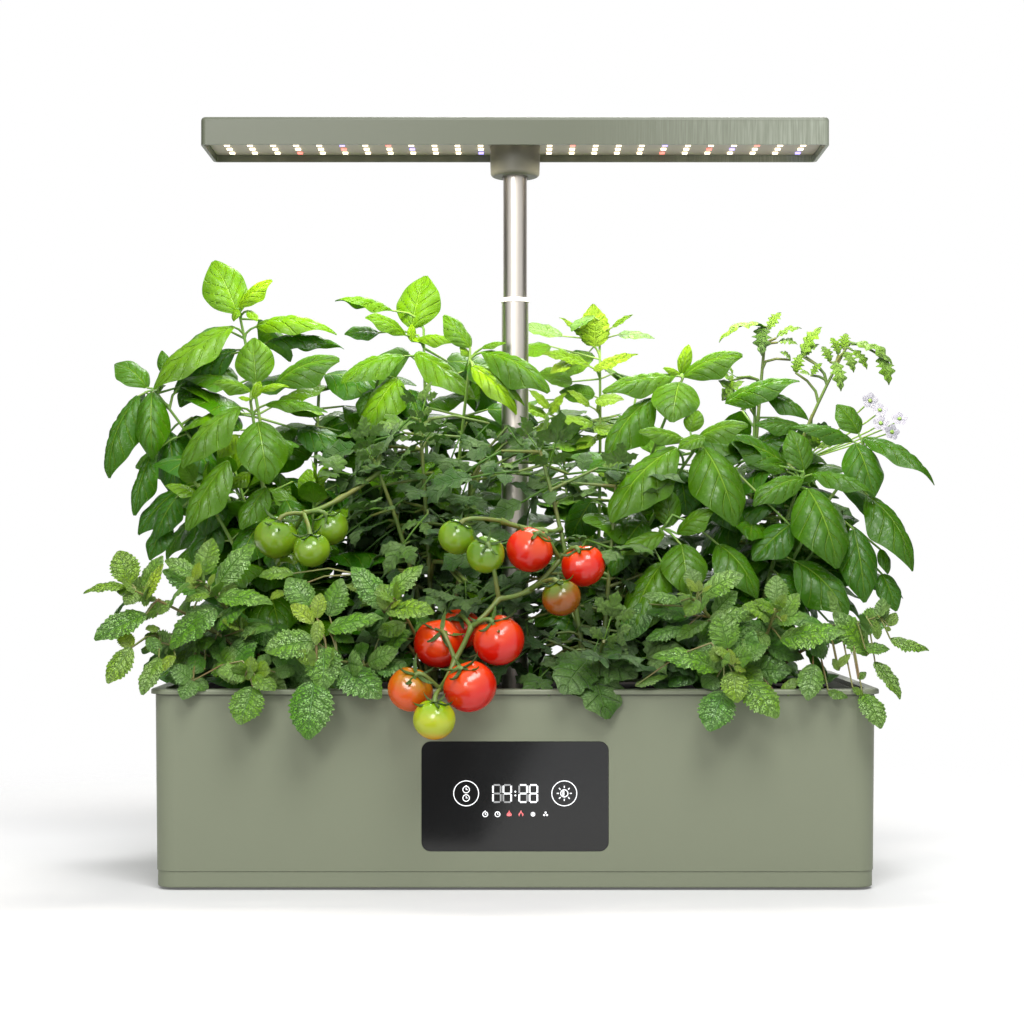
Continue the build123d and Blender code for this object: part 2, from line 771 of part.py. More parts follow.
# ---- circulation pump: body with a rotor well, shaft, rotor, cover, suction feet and outlet ----
pump_bottom = tank_floor_top + pump_foot_height
pump_axis_z = pump_bottom + pump_height / 2
pump_front_y = pump_y - pump_depth / 2
rotor_axis = Plane(origin=(pump_x, pump_front_y, pump_axis_z), x_dir=(1, 0, 0), z_dir=(0, 1, 0))
rotor_well = rotor_length + rotor_chamber_gap
with BuildPart() as pump_body:
    with BuildSketch(Plane.XY.offset(pump_bottom)):
        with Locations((pump_x, pump_y)):
            RectangleRounded(pump_length, pump_depth, pump_corner)
    extrude(amount=pump_height)
    with BuildSketch(rotor_axis):
        Circle(rotor_radius + rotor_chamber_gap)
    extrude(amount=rotor_well, mode=Mode.SUBTRACT)
    with BuildSketch(rotor_axis.offset(rotor_well)):
        Circle(rotor_shaft_radius)
    extrude(amount=2, mode=Mode.SUBTRACT)
export("pump_body", pump_body.part)

with BuildPart() as pump_shaft:
    with BuildSketch(rotor_axis.offset(-impeller_width - rotor_chamber_gap)):
        Circle(rotor_shaft_radius)
    extrude(amount=impeller_width + rotor_chamber_gap + rotor_well + 2)
export("pump_shaft", pump_shaft.part)

rotor_start = rotor_axis.offset(-rotor_chamber_gap / 2)
with BuildPart() as pump_rotor:
    with BuildSketch(rotor_start):
        Circle(rotor_radius)
    extrude(amount=rotor_length)
    with BuildSketch(rotor_start):
        Circle(rotor_radius * 0.6)
        with PolarLocations(impeller_radius / 2, impeller_blades):
            Rectangle(impeller_radius, 1.2)
    extrude(amount=-impeller_width)
    with BuildSketch(rotor_start.offset(-impeller_width)):
        Circle(rotor_shaft_radius + slide_clearance)
    extrude(amount=impeller_width + rotor_length, mode=Mode.SUBTRACT)
export("pump_rotor", pump_rotor.part)

cover_radius = impeller_radius + rotor_chamber_gap + pump_cover_wall
with BuildPart() as pump_cover:
    with BuildSketch(rotor_axis):
        Circle(cover_radius)
    extrude(amount=-pump_cover_depth)
    with BuildSketch(rotor_axis):
        Circle(cover_radius - pump_cover_wall)
    extrude(amount=pump_cover_wall - pump_cover_depth, mode=Mode.SUBTRACT)
    with BuildSketch(rotor_axis.offset(-pump_cover_depth)):
        with GridLocations(4, 0, 4, 1):
            SlotOverall(cover_radius, 2, rotation=90)
        Circle(rotor_shaft_radius * 2, mode=Mode.SUBTRACT)
    extrude(amount=pump_cover_wall, mode=Mode.SUBTRACT)
    with BuildSketch(rotor_axis.offset(-pump_cover_depth + pump_cover_wall)):
        Circle(rotor_shaft_radius * 2)
        Circle(rotor_shaft_radius + slide_clearance / 2, mode=Mode.SUBTRACT)
    extrude(amount=seat_gap)
export("pump_cover", pump_cover.part)

with BuildPart() as pump_feet:
    with BuildSketch(Plane.XY.offset(tank_floor_top)):
        with Locations((pump_x, pump_y)):
            with GridLocations(
                pump_length - 2 * pump_foot_radius, pump_depth - 2 * pump_foot_radius, 2, 2
            ):
                Circle(pump_foot_radius)
    extrude(amount=pump_foot_height, taper=20)
export("pump_feet", pump_feet.part)

outlet_foot = Plane((pump_x - pump_length / 4, pump_y, pump_bottom + pump_height))
with BuildPart() as outlet_pipe:
    with BuildSketch(outlet_foot):
        Circle(outlet_radius)
        Circle(outlet_radius - outlet_wall, mode=Mode.SUBTRACT)
    extrude(amount=outlet_length)
export("outlet_pipe", outlet_pipe.part)

# ---- water level float on its stem ----
stem_bottom = deck_bottom - float_stem_length
float_seat = stem_bottom + float_clip
with BuildPart() as float_stem:
    with BuildSketch(Plane((float_x, float_y, stem_bottom))):
        Circle(float_stem_radius)
    extrude(amount=float_stem_length)
    with BuildSketch(Plane((float_x, float_y, deck_bottom))):
        Circle(float_stem_radius / 2 - slide_clearance)
    extrude(amount=deck_thickness)
    with BuildSketch(Plane((float_x, float_y, stem_bottom))):
        Circle(float_clip_radius)
    extrude(amount=float_clip)
    with BuildSketch(Plane((float_x, float_y, float_seat + float_height + float_travel + seat_gap))):
        Circle(float_clip_radius)
    extrude(amount=float_clip)
export("float_stem", float_stem.part)

with BuildPart() as level_float:
    with BuildSketch(Plane((float_x, float_y, float_seat))):
        Circle(float_radius)
        Circle(float_stem_radius + slide_clearance, mode=Mode.SUBTRACT)
    extrude(amount=float_height)
    fillet(level_float.edges().filter_by(GeomType.CIRCLE).sort_by(SortBy.RADIUS)[-2:], radius=2)
export("level_float", level_float.part)

# ---- plants: shoots that rise from a growing plug, with pairs of arched leaves along them ----
leaf_thickness = 1.2
leaf_stalk = 5
leaf_stalk_width = 2.4
stem_radius = 1.9
stem_spread = 6  # between the plug's middle and a shoot's foot
node_turn = 90  # each pair of leaves stands square to the pair below
elbow_reach = 0.3  # of the way out to the tip, at this share of its height
elbow_height = 0.5


def make_leaf_pair(length, width, arch, rise):
    """Two opposite leaves along X, arched, that rise or hang from the stem at the origin."""
    reach = length * cos(radians(rise))
    middle = reach / 2 * tan(radians(rise)) + arch / 2
    tip = reach * tan(radians(rise)) - arch
    with BuildPart() as pair:
        with BuildSketch(Plane.XZ):
            with BuildLine():
                ThreePointArc((-reach, tip), (-reach / 2, middle), (0, 0))
                ThreePointArc((0, 0), (reach / 2, middle), (reach, tip))
                Line((reach, tip), (reach, tip - leaf_thickness))
                ThreePointArc(
                    (reach, tip - leaf_thickness),
                    (reach / 2, middle - leaf_thickness),
                    (0, -leaf_thickness),
                )
                ThreePointArc(
                    (0, -leaf_thickness),
                    (-reach / 2, middle - leaf_thickness),
                    (-reach, tip - leaf_thickness),
                )
                Line((-reach, tip - leaf_thickness), (-reach, tip))
            make_face()
        extrude(amount=width, both=True)
        with BuildSketch(Plane.XY.offset(-2 * length)):
            Rectangle(4 * leaf_stalk, leaf_stalk_width)
            for side in (-1, 1):
                with BuildLine():
                    root = (side * leaf_stalk, 0)
                    ThreePointArc(root, (side * reach * 0.5, width / 2), (side * reach, 0))
                    ThreePointArc((side * reach, 0), (side * reach * 0.5, -width / 2), root)
                make_face()
        extrude(amount=4 * length, mode=Mode.INTERSECT)
    return pair.part


# Each kind of shoot: leaf length, width and arch, the pairs of leaves on it, the share of it that is
# bare below them, how far the lowest and the highest pair rise, and the highest pair's size beside the
# lowest's. The kinds named over hang their last leaves outside the rim.
shoot_traits = ("length", "width", "arch", "pairs", "bare", "low_rise", "top_rise", "top_share")
shoot_kinds = {
    name: dict(zip(shoot_traits, values))
    for name, values in {
        "basil": (52, 32, 13, 4, 0.5, -10, 15, 0.8),
        "basil_tall": (52, 32, 13, 4, 0.5, -10, 52, 0.8),
        "mint": (33, 23, 6, 3, 0.45, -5, 30, 0.8),
        "mint_over": (42, 26, 4, 3, 0.45, 10, -66, 0.95),
        "balm": (32, 22, 4, 4, 0.45, 0, 45, 0.6),
        "tomato": (58, 28, 12, 3, 0.4, -10, 30, 0.65),
        "tomato_over": (42, 30, 4, 2, 0.6, 20, -60, 0.95),
    }.items()
}
tip_straightening = 0.7  # how much of its arch the highest pair loses


def make_leaf_pairs(kind):
    """The pairs of leaves of one kind of shoot, from the lowest to the highest."""
    pairs = []
    for number in range(kind["pairs"]):
        height = number / (kind["pairs"] - 1)
        size = 1 - (1 - kind["top_share"]) * height
        rise = kind["low_rise"] + (kind["top_rise"] - kind["low_rise"]) * height
        arch = kind["arch"] * size * (1 - tip_straightening * height)
        pairs.append(make_leaf_pair(kind["length"] * size, kind["width"] * size, arch, rise))
    return pairs


def bow_stem(foot, tip):
    """The line of a shoot's stem: it starts inside the growing plug and bows out to its tip."""
    lean = Vector(tip.X - foot.X, tip.Y - foot.Y, 0)
    root = foot + lean.normalized() * stem_spread
    start = root - lean.normalized() * stem_radius - Vector(0, 0, 3 * stem_radius)
    elbow = root + lean * elbow_reach + Vector(0, 0, (tip.Z - foot.Z) * elbow_height)
    with BuildLine() as stem:
        ThreePointArc(start, elbow, tip)
    return stem.line


def make_stem(line, radius, cut):
    """A round stem along its line, cut off level with the growing plug."""
    with BuildPart() as stem:
        with BuildSketch(Plane(origin=line @ 0, z_dir=line % 0)):
            Circle(radius)
        sweep(path=line)
        add(cut, mode=Mode.SUBTRACT)
    return stem.part


# Each plant: its pod's column and row, and its shoots. A shoot is its kind, how far its tip lies from
# the foot of the stem in X, Y and Z, and the heading of its lowest pair of leaves.
plants = {
    "basil_rear_left": (0, 2, [
        ("basil_tall", -38, -12, 246, 20), ("basil", -93, -24, 194, 90), ("basil_tall", 15, 8, 222, -10),
    ]),
    "basil_rear_centre": (1, 2, [
        ("basil_tall", -13, -2, 240, 15), ("basil", -45, -14, 200, 50), ("basil", 20, -50, 212, 80),
    ]),
    "lemon_balm": (2, 2, [
        ("balm", 8, -2, 246, 0), ("balm", -20, 8, 192, 30), ("balm", 36, -6, 206, 20),
    ]),
    "tomato_rear_right": (3, 2, [("tomato", 20, 0, 232, 10), ("tomato", 84, -8, 208, 0)]),
    "basil_middle_left": (0, 1, [("basil", -22, -22, 184, 30), ("basil", -58, -26, 132, 90)]),
    "tomato_middle": (1, 1, [("tomato", -12, -18, 172, 25), ("tomato", -42, -26, 146, 70)]),
    "basil_middle_centre": (2, 1, [
        ("basil_tall", 60, -8, 200, 0), ("basil", 64, -38, 150, 40), ("basil", 46, -52, 104, 65),
    ]),
    "basil_middle_right": (3, 1, [
        ("basil", 38, -22, 138, 20), ("basil", 80, -4, 150, 90), ("basil_tall", 10, 12, 190, -20),
    ]),
    "mint_front_left": (0, 0, [
        ("mint", -82, -40, 62, 0), ("mint", -43, -26, 66, 50),
        ("mint_over", -12, -57, 14, 90), ("mint", -70, -24, 30, 0),
    ]),
    "mint_front_centre": (1, 0, [
        ("mint", -24, -44, 58, 20), ("mint_over", -70, -57, 22, 90), ("mint", -44, -26, 62, 0),
    ]),
    "tomato_front": (2, 0, [
        ("tomato", -34, 12, 150, 35), ("tomato", 14, 10, 128, 75), ("tomato_over", 4, -50, 32, 0),
    ]),
    "mint_front_right": (3, 0, [
        ("mint", -42, -38, 58, 15), ("mint_over", -25, -57, 22, 90),
        ("mint", 10, -44, 52, 80), ("mint", 72, -34, 46, 0),
    ]),
}

# Each fruit: its colour, its middle, from the middle of the deck's front edge at rim height, and its
# radius. It hangs from the nearest joint of its truss.
fruit = {
    "front": [
        ("ripe", (-27, -24, 3), 16),
        ("ripe", (-10, -5, 30), 16),
        ("ripe", (-47, 15, 27), 15.5),
        ("ripe", (-35, 47, 35), 13.5),
        ("ripe", (9, 12, 85), 14.6),
        ("ripe", (42, 12, 75), 13.5),
        ("turning", (-63, -18, 1), 13.8),
        ("turning", (-48, -35, -15.7), 12.8),
        ("turning", (28, -6, 56), 12),
        ("green", (-36, 17, 93), 11.6),
        ("green", (-18, 3, 82), 11.8),
    ],
    "left": [
        ("green", (-151, 47, 93), 14.3),
        ("green", (-127, 32, 85), 11.6),
        ("green", (-117, 54, 99), 11.4),
        ("green", (-148, 76, 77), 11),
    ],
}
# Each truss: the shoot that it grows on, and the joints of its stalk from the same point as the fruit.
# A stalk may fork: a fork starts at one of the first stalk's joints.
trusses = {
    "front": dict(
        vine=("tomato_front", 0),
        stalk=[
            (18, 32, 97), (28, 20, 79), (9, 16, 60), (-6, 18, 54),
            (-21.5, 18, 36), (-36.5, -3, 18), (-45, -18, 1),
        ],
        fork=[(18, 32, 97), (-9, 25, 103)],
    ),
    "left": dict(
        vine=("tomato_middle", 1),
        stalk=[(-112, 66, 118), (-134, 52, 108)],
        fork=[],
    ),
}
stalk_radius = 1.3
front_edge = Vector(0, -body_depth / 2, rim_top)

for colour in ("ripe", "turning", "green"):
    with BuildPart() as tomatoes:
        for bunch in fruit.values():
            for ripeness, middle, radius in bunch:
                if ripeness == colour:
                    with Locations(front_edge + Vector(middle)):
                        Sphere(radius)
    export(f"tomatoes_{colour}", tomatoes.part)


def make_rod(start, end):
    """A thin six-sided stalk from one point to another."""
    with BuildPart() as rod:
        with BuildSketch(Plane(origin=start, z_dir=end - start)):
            RegularPolygon(stalk_radius, 6)
        extrude(amount=(end - start).length)
    return rod.part


def make_truss(truss, bunch, vine):
    """The stalk of a bunch, from just off its vine, with a twig to each fruit."""
    joints = [front_edge + Vector(joint) for joint in truss["stalk"]]
    fork = [front_edge + Vector(joint) for joint in truss["fork"]]
    along_vine = [vine @ (step / 60) for step in range(61)]
    on_vine = min(along_vine, key=lambda spot: (spot - joints[0]).length)
    start = on_vine + (joints[0] - on_vine).normalized() * (stem_radius + soft_gap)
    rods = [make_rod(start, joints[0])]
    rods += [make_rod(one, two) for one, two in zip(joints, joints[1:])]
    rods += [make_rod(one, two) for one, two in zip(fork, fork[1:])]
    for _, middle, radius in bunch:
        centre = front_edge + Vector(middle)
        nearest = min(joints + fork, key=lambda joint: (joint - centre).length)
        rods.append(make_rod(centre + (nearest - centre).normalized() * (radius + soft_gap), nearest))
    with BuildPart() as stalk:
        add(rods)
    return stalk.part


shoot_lines = {}
for name, (column, row, shoots) in plants.items():
    foot = Vector(*pod_places[row][column], sponge_top)
    for number, (_, dx, dy, dz, heading) in enumerate(shoots):
        shoot_lines[name, number] = bow_stem(foot, foot + Vector(dx, dy, dz))

stalks = [make_truss(truss, fruit[name], shoot_lines[truss["vine"]]) for name, truss in trusses.items()]
export("tomato_trusses", Part(children=[solid for stalk in stalks for solid in stalk.solids()]))

# Space that leaves keep clear of: the pole, the fruit, the rim, the deck and the lid's swing.
rim_length = body_length + 2 * (widening(rim_bottom) + rim_overhang)
rim_depth = body_depth + 2 * (widening(rim_bottom) + rim_overhang)
with BuildPart() as keep_clear:
    with BuildSketch():
        Rectangle(rim_length + 2 * soft_gap, rim_depth + 2 * soft_gap)
    extrude(amount=rim_top + soft_gap)
    with BuildSketch(Plane.XY.offset(sponge_top)):
        Rectangle(rim_opening_length - 2 * soft_gap, rim_opening_depth - 2 * soft_gap)
    extrude(amount=rim_top, mode=Mode.SUBTRACT)
    with BuildSketch(Plane((0, pole_y, sponge_top / 2))):
        Circle(bush_collar_radius + 2)
    extrude(amount=outer_tube_top)
    with BuildSketch(Plane((port_x, port_y, deck_top / 2))):
        Rectangle(lid_length + 6, lid_width + 20)
    extrude(amount=deck_top / 2 + lid_width + 10)
    for bunch in fruit.values():
        for _, middle, radius in bunch:
            with Locations(front_edge + Vector(middle)):
                Sphere(radius + soft_gap)


def touches(first, second):
    """True where the boxes round two parts meet."""
    one, two = first.bounding_box(), second.bounding_box()
    return all(
        low <= high
        for low, high in (
            (one.min.X, two.max.X), (two.min.X, one.max.X), (one.min.Y, two.max.Y),
            (two.min.Y, one.max.Y), (one.min.Z, two.max.Z), (two.min.Z, one.max.Z),
        )
    )


leaf_pairs = {name: make_leaf_pairs(kind) for name, kind in shoot_kinds.items()}
stems = {key: make_stem(line, stem_radius, keep_clear.part) for key, line in shoot_lines.items()}
stem_rooms = {
    key: make_stem(line, stem_radius + soft_gap, keep_clear.part) for key, line in shoot_lines.items()
}

grown = []
for name, (column, row, shoots) in plants.items():
    own_shoots = []
    for number, (kind_name, dx, dy, dz, heading) in enumerate(shoots):
        kind = shoot_kinds[kind_name]
        line = shoot_lines[name, number]
        placed = []
        for order, pair in enumerate(leaf_pairs[kind_name]):
            share = kind["bare"] + (0.97 - kind["bare"]) * order / (kind["pairs"] - 1)
            placed.append(pair.moved(Location(line @ share, (0, 0, heading + node_turn * order))))
        leaves = Part() + placed
        rooms = [room for key, room in stem_rooms.items() if key != (name, number)]
        in_the_way = [keep_clear.part]
        in_the_way += [piece for piece in rooms + stalks + grown if touches(leaves, piece)]
        with BuildPart() as shoot:
            add(leaves)
            add(in_the_way, mode=Mode.SUBTRACT)
            add(stems[name, number])
        whole = shoot.part.solids().sort_by(SortBy.VOLUME)[-1]
        grown.append(whole)
        own_shoots.append(whole)
    export(name, Part(children=own_shoots))
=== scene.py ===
import json
import math
import bmesh
import bpy
import numpy as np
from mathutils import Matrix, Vector


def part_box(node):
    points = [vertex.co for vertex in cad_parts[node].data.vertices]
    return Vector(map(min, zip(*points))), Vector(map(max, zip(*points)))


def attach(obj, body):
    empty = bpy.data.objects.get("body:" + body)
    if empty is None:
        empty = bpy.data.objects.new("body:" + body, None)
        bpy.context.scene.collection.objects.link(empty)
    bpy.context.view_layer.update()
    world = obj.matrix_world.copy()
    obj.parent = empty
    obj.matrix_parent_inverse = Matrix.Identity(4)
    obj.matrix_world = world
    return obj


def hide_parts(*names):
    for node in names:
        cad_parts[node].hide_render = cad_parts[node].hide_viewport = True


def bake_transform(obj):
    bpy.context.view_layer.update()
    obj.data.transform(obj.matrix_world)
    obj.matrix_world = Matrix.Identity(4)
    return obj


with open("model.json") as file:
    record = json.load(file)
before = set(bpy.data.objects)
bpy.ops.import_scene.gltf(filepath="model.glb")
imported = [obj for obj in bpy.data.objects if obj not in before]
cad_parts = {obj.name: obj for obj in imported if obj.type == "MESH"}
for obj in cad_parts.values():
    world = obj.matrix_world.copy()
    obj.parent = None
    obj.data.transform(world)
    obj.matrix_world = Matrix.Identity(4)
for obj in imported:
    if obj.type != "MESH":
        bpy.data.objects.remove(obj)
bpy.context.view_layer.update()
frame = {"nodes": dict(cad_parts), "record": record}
nodes = frame["nodes"]
print("frame loaded,", len(nodes), "nodes")


def tint(red, green, blue):
    shares = [part / 255 for part in (red, green, blue)]
    return [s / 12.92 if s < 0.04 else ((s + 0.055) / 1.055) ** 2.4 for s in shares] + [1.0]


def shaded(colour, factor, lift=0.0):
    return [part * factor + lift for part in colour[:3]] + [1.0]


def mm(*sizes):
    return Vector(sizes) / 1000


def newObject(name, data):
    thing = bpy.data.objects.new(name, data)
    bpy.context.scene.collection.objects.link(thing)
    return thing


# Small helpers for node trees: each adds one node and gives back an output, or all of them.
def wire(tree, kind, inputs=None, out=0, **settings):
    node = tree.nodes.new(kind)
    for key, value in settings.items():
        setattr(node, key, value)
    for key, value in (inputs or {}).items():
        if isinstance(value, bpy.types.NodeSocket):
            tree.links.new(value, node.inputs[key])
        else:
            node.inputs[key].default_value = value
    return node.outputs if out is None else node.outputs[out]


def calc(tree, operation, first, second=0.0, third=0.0):
    return wire(tree, "ShaderNodeMath", {0: first, 1: second, 2: third}, operation=operation)


def times(tree, first, second):
    return calc(tree, "MULTIPLY", first, second)


def span(tree, value, fromLow, fromHigh, toLow=0.0, toHigh=1.0, smooth=False):
    kind = "SMOOTHSTEP" if smooth else "LINEAR"
    inputs = {0: value, 1: fromLow, 2: fromHigh, 3: toLow, 4: toHigh}
    return wire(tree, "ShaderNodeMapRange", inputs, interpolation_type=kind)


def blendColour(tree, factor, first, second):
    return wire(tree, "ShaderNodeMix", {0: factor, 6: first, 7: second}, 2, data_type="RGBA")


def noise(tree, place, scale, detail=2.0):
    return wire(tree, "ShaderNodeTexNoise", {"Vector": place, "Scale": scale, "Detail": detail})


def objectPlace(tree):
    return wire(tree, "ShaderNodeTexCoord", out="Object")


def axisPart(tree, place, axis):
    return wire(tree, "ShaderNodeSeparateXYZ", {0: place}, axis)


def stretched(tree, place, scale):
    return wire(tree, "ShaderNodeMapping", {"Vector": place, "Scale": scale})


def stored(tree, label):
    return wire(tree, "ShaderNodeAttribute", out="Fac", attribute_name=label)


def bump(tree, height, distance):
    return wire(tree, "ShaderNodeBump", {"Distance": distance, "Height": height})


def startMaterial(name, sockets=None):
    material = bpy.data.materials.new(name)
    material.use_nodes = True
    tree = material.node_tree
    shader = tree.nodes["Principled BSDF"]
    for key, value in (sockets or {}).items():
        shader.inputs[key].default_value = value
    return material, tree, shader


def join(tree, output, shader, key):
    tree.links.new(output, shader.inputs[key])


def startGroup(name, inputs, outputs):
    tree = bpy.data.node_groups.new(name, "ShaderNodeTree")
    for label, value in inputs.items():
        socket = tree.interface.new_socket(label, in_out="INPUT", socket_type="NodeSocketFloat")
        socket.default_value = value
    for label in outputs:
        tree.interface.new_socket(label, in_out="OUTPUT", socket_type="NodeSocketFloat")
    return tree, tree.nodes.new("NodeGroupInput").outputs, tree.nodes.new("NodeGroupOutput").inputs


def useGroup(tree, group, inputs):
    return wire(tree, "ShaderNodeGroup", inputs, None, node_tree=group)


# Shared effects.
def mouldedSkinGroup():
    tree, given, result = startGroup("mouldedSkin", {"Grain": 1500.0, "Mottle": 14.0}, ("Shade", "Height"))
    place = objectPlace(tree)
    fine = noise(tree, place, given["Grain"], 2.0)
    broad = noise(tree, place, given["Mottle"], 3.0)
    pits = wire(tree, "ShaderNodeTexVoronoi", {"Vector": place, "Scale": given["Grain"]}, "Distance")
    tree.links.new(calc(tree, "MULTIPLY_ADD", fine, 0.35, times(tree, broad, 0.65)), result["Shade"])
    tree.links.new(calc(tree, "MULTIPLY_ADD", pits, 0.5, times(tree, fine, 0.5)), result["Height"])
    return tree


def leafVeinsGroup():
    # along and across come from the leaf's own UV map: the midrib lies at half its height
    tree, given, result = startGroup(
        "leafVeins", {"Veins": 6.0, "Slant": 1.1, "Net": 22.0, "Crinkle": 0.4},
        ("Midrib", "Side veins", "Net", "Height"))
    uv = wire(tree, "ShaderNodeUVMap", uv_map="leafUv")
    split = wire(tree, "ShaderNodeSeparateXYZ", {0: uv}, None)
    across = calc(tree, "ABSOLUTE", calc(tree, "MULTIPLY_ADD", split["Y"], 2.0, -1.0))
    narrow = calc(tree, "MULTIPLY_ADD", split["X"], -0.05, 0.075)
    midrib = span(tree, calc(tree, "DIVIDE", across, narrow), 0.35, 1.0, 1.0, 0.0, True)
    lean = times(tree, times(tree, across, given["Slant"]), -1.0)
    along = calc(tree, "MULTIPLY_ADD", split["X"], given["Veins"], lean)
    off = calc(tree, "ABSOLUTE", calc(tree, "SUBTRACT", calc(tree, "FRACT", along), 0.5))
    side = times(tree, span(tree, off, 0.40, 0.485, 0.0, 1.0, True), span(tree, across, 0.75, 1.0, 1.0, 0.0))
    stretch = wire(tree, "ShaderNodeCombineXYZ", {0: times(tree, split["X"], 1.6), 1: split["Y"]})
    net = wire(tree, "ShaderNodeTexVoronoi", {"Vector": stretch, "Scale": given["Net"]}, "Distance",
               feature="DISTANCE_TO_EDGE")
    netMask = span(tree, net, 0.0, 0.12, 1.0, 0.0, True)
    dents = calc(tree, "MAXIMUM", times(tree, netMask, given["Crinkle"]),
                 calc(tree, "MAXIMUM", side, midrib))
    tree.links.new(midrib, result["Midrib"])
    tree.links.new(side, result["Side veins"])
    tree.links.new(netMask, result["Net"])
    tree.links.new(calc(tree, "SUBTRACT", 1.0, dents), result["Height"])
    return tree


mouldedSkin = mouldedSkinGroup()
leafVeins = leafVeinsGroup()


def mouldedFinish(name, colour, roughness=0.5, mottle=0.05, grain=1500.0, depth=0.00002, sockets=None):
    material, tree, shader = startMaterial(name, sockets)
    skin = useGroup(tree, mouldedSkin, {"Grain": grain})
    darker = shaded(colour, 1 - mottle)
    lighter = shaded(colour, 1 + mottle)
    join(tree, blendColour(tree, skin["Shade"], darker, lighter), shader, "Base Color")
    join(tree, span(tree, skin["Shade"], 0.3, 0.7, roughness + 0.05, roughness - 0.05), shader, "Roughness")
    join(tree, bump(tree, skin["Height"], depth), shader, "Normal")
    return material


def metalFinish(name, colour, roughness, streaks, stretch):
    # fine drawn streaks along one axis
    material, tree, shader = startMaterial(name, {"Metallic": 1.0})
    line = noise(tree, stretched(tree, objectPlace(tree), stretch), streaks, 3.0)
    join(tree, blendColour(tree, line, shaded(colour, 0.82), colour), shader, "Base Color")
    join(tree, span(tree, line, 0.3, 0.7, roughness + 0.07, roughness - 0.07), shader, "Roughness")
    join(tree, bump(tree, line, 0.00001), shader, "Normal")
    return material


def brushedPaintWithPaintedSheen(name, colour):
    # upright brush marks on the sides, with a painted sheen: their colour is lightened towards the right
    # end, in metres
    look = dict(rightFrom=0.02, rightTo=0.26, sideTop=0.489, edge=0.4918, streaks=1300.0)
    material, tree, shader = startMaterial(name)
    place = objectPlace(tree)
    line = noise(tree, stretched(tree, place, (1, 1, 0.04)), look["streaks"], 3.0)
    right = span(tree, axisPart(tree, place, "X"), look["rightFrom"], look["rightTo"], 0.0, 1.0, True)
    side = span(tree, axisPart(tree, place, "Z"), look["sideTop"], look["edge"], 1.0, 0.0)
    # painted sheen: a paler colour in streaks, growing towards the right end of the sides
    paintedSheen = times(tree, span(tree, line, 0.35, 0.75, 0.22, 0.6), times(tree, right, side))
    join(tree, blendColour(tree, paintedSheen, colour, tint(192, 200, 184)), shader, "Base Color")
    join(tree, span(tree, line, 0.3, 0.7, 0.42, 0.39), shader, "Roughness")
    join(tree, bump(tree, line, 0.000003), shader, "Normal")
    return material


def diodeFinish(name, colour, strength):
    material, tree, shader = startMaterial(name, {"Roughness": 0.3, "Emission Strength": strength})
    glow = noise(tree, objectPlace(tree), 900.0)
    mixed = blendColour(tree, glow, colour, shaded(colour, 0.7, 0.3))
    join(tree, mixed, shader, "Base Color")
    join(tree, mixed, shader, "Emission Color")
    return material


def foliageFinish(name, look):
    material, tree, shader = startMaterial(
        name, {"Specular IOR Level": look["shine"], "Sheen Weight": look.get("fuzz", 0.0)})
    veins = useGroup(tree, leafVeins, {
        "Veins": look["veins"], "Slant": look["slant"], "Net": look["net"],
        "Crinkle": look.get("crinkle", 0.4)})
    tone = stored(tree, "tone")
    under = stored(tree, "under")
    place = objectPlace(tree)
    body = blendColour(tree, calc(tree, "POWER", tone, 1.8), look["old"], look["young"])
    older = span(tree, noise(tree, place, 70.0, 3.0), 0.35, 0.7, 0.0, 0.35)
    body = blendColour(tree, older, body, look["old"])
    lines = calc(tree, "MAXIMUM", times(tree, veins["Side veins"], 0.6), veins["Midrib"])
    lines = calc(tree, "MAXIMUM", lines, times(tree, veins["Net"], look["netTint"]))
    body = blendColour(tree, times(tree, lines, look["veinTint"]), body, look["vein"])
    # painted highlight: the raised cells between the veins are given a pale colour in patches
    patches = span(tree, noise(tree, place, 60.0), 0.4, 0.62, 0.0, look.get("paintedHighlight", 0.0))
    paintedHighlight = times(tree, patches, span(tree, veins["Height"], 0.35, 1.0))
    body = blendColour(tree, paintedHighlight, body, tint(204, 232, 168))
    body = blendColour(tree, times(tree, under, 0.55), body, look["under"])
    join(tree, body, shader, "Base Color")
    rough = span(tree, noise(tree, place, 160.0), 0.3, 0.7, look["rough"] - 0.06, look["rough"] + 0.08)
    join(tree, calc(tree, "MULTIPLY_ADD", under, 0.2, rough), shader, "Roughness")
    join(tree, bump(tree, veins["Height"], look["relief"]), shader, "Normal")
    lit = wire(tree, "ShaderNodeBsdfTranslucent", {"Color": blendColour(tree, 0.45, body, look["lit"])})
    mixed = wire(tree, "ShaderNodeMixShader", {0: look["through"], 1: shader.outputs[0], 2: lit})
    tree.links.new(mixed, tree.nodes["Material Output"].inputs["Surface"])
    return material


def stalkFinish(name, colour, blush):
    material, tree, shader = startMaterial(
        name, {"Roughness": 0.45, "Subsurface Weight": 0.1, "Subsurface Scale": 0.002})
    place = objectPlace(tree)
    ribs = noise(tree, stretched(tree, place, (1.0, 1.0, 0.12)), 700.0)
    patch = span(tree, noise(tree, place, 35.0), 0.45, 0.65)
    join(tree, blendColour(tree, times(tree, patch, 0.6), colour, blush), shader, "Base Color")
    join(tree, bump(tree, ribs, 0.0002), shader, "Normal")
    return material


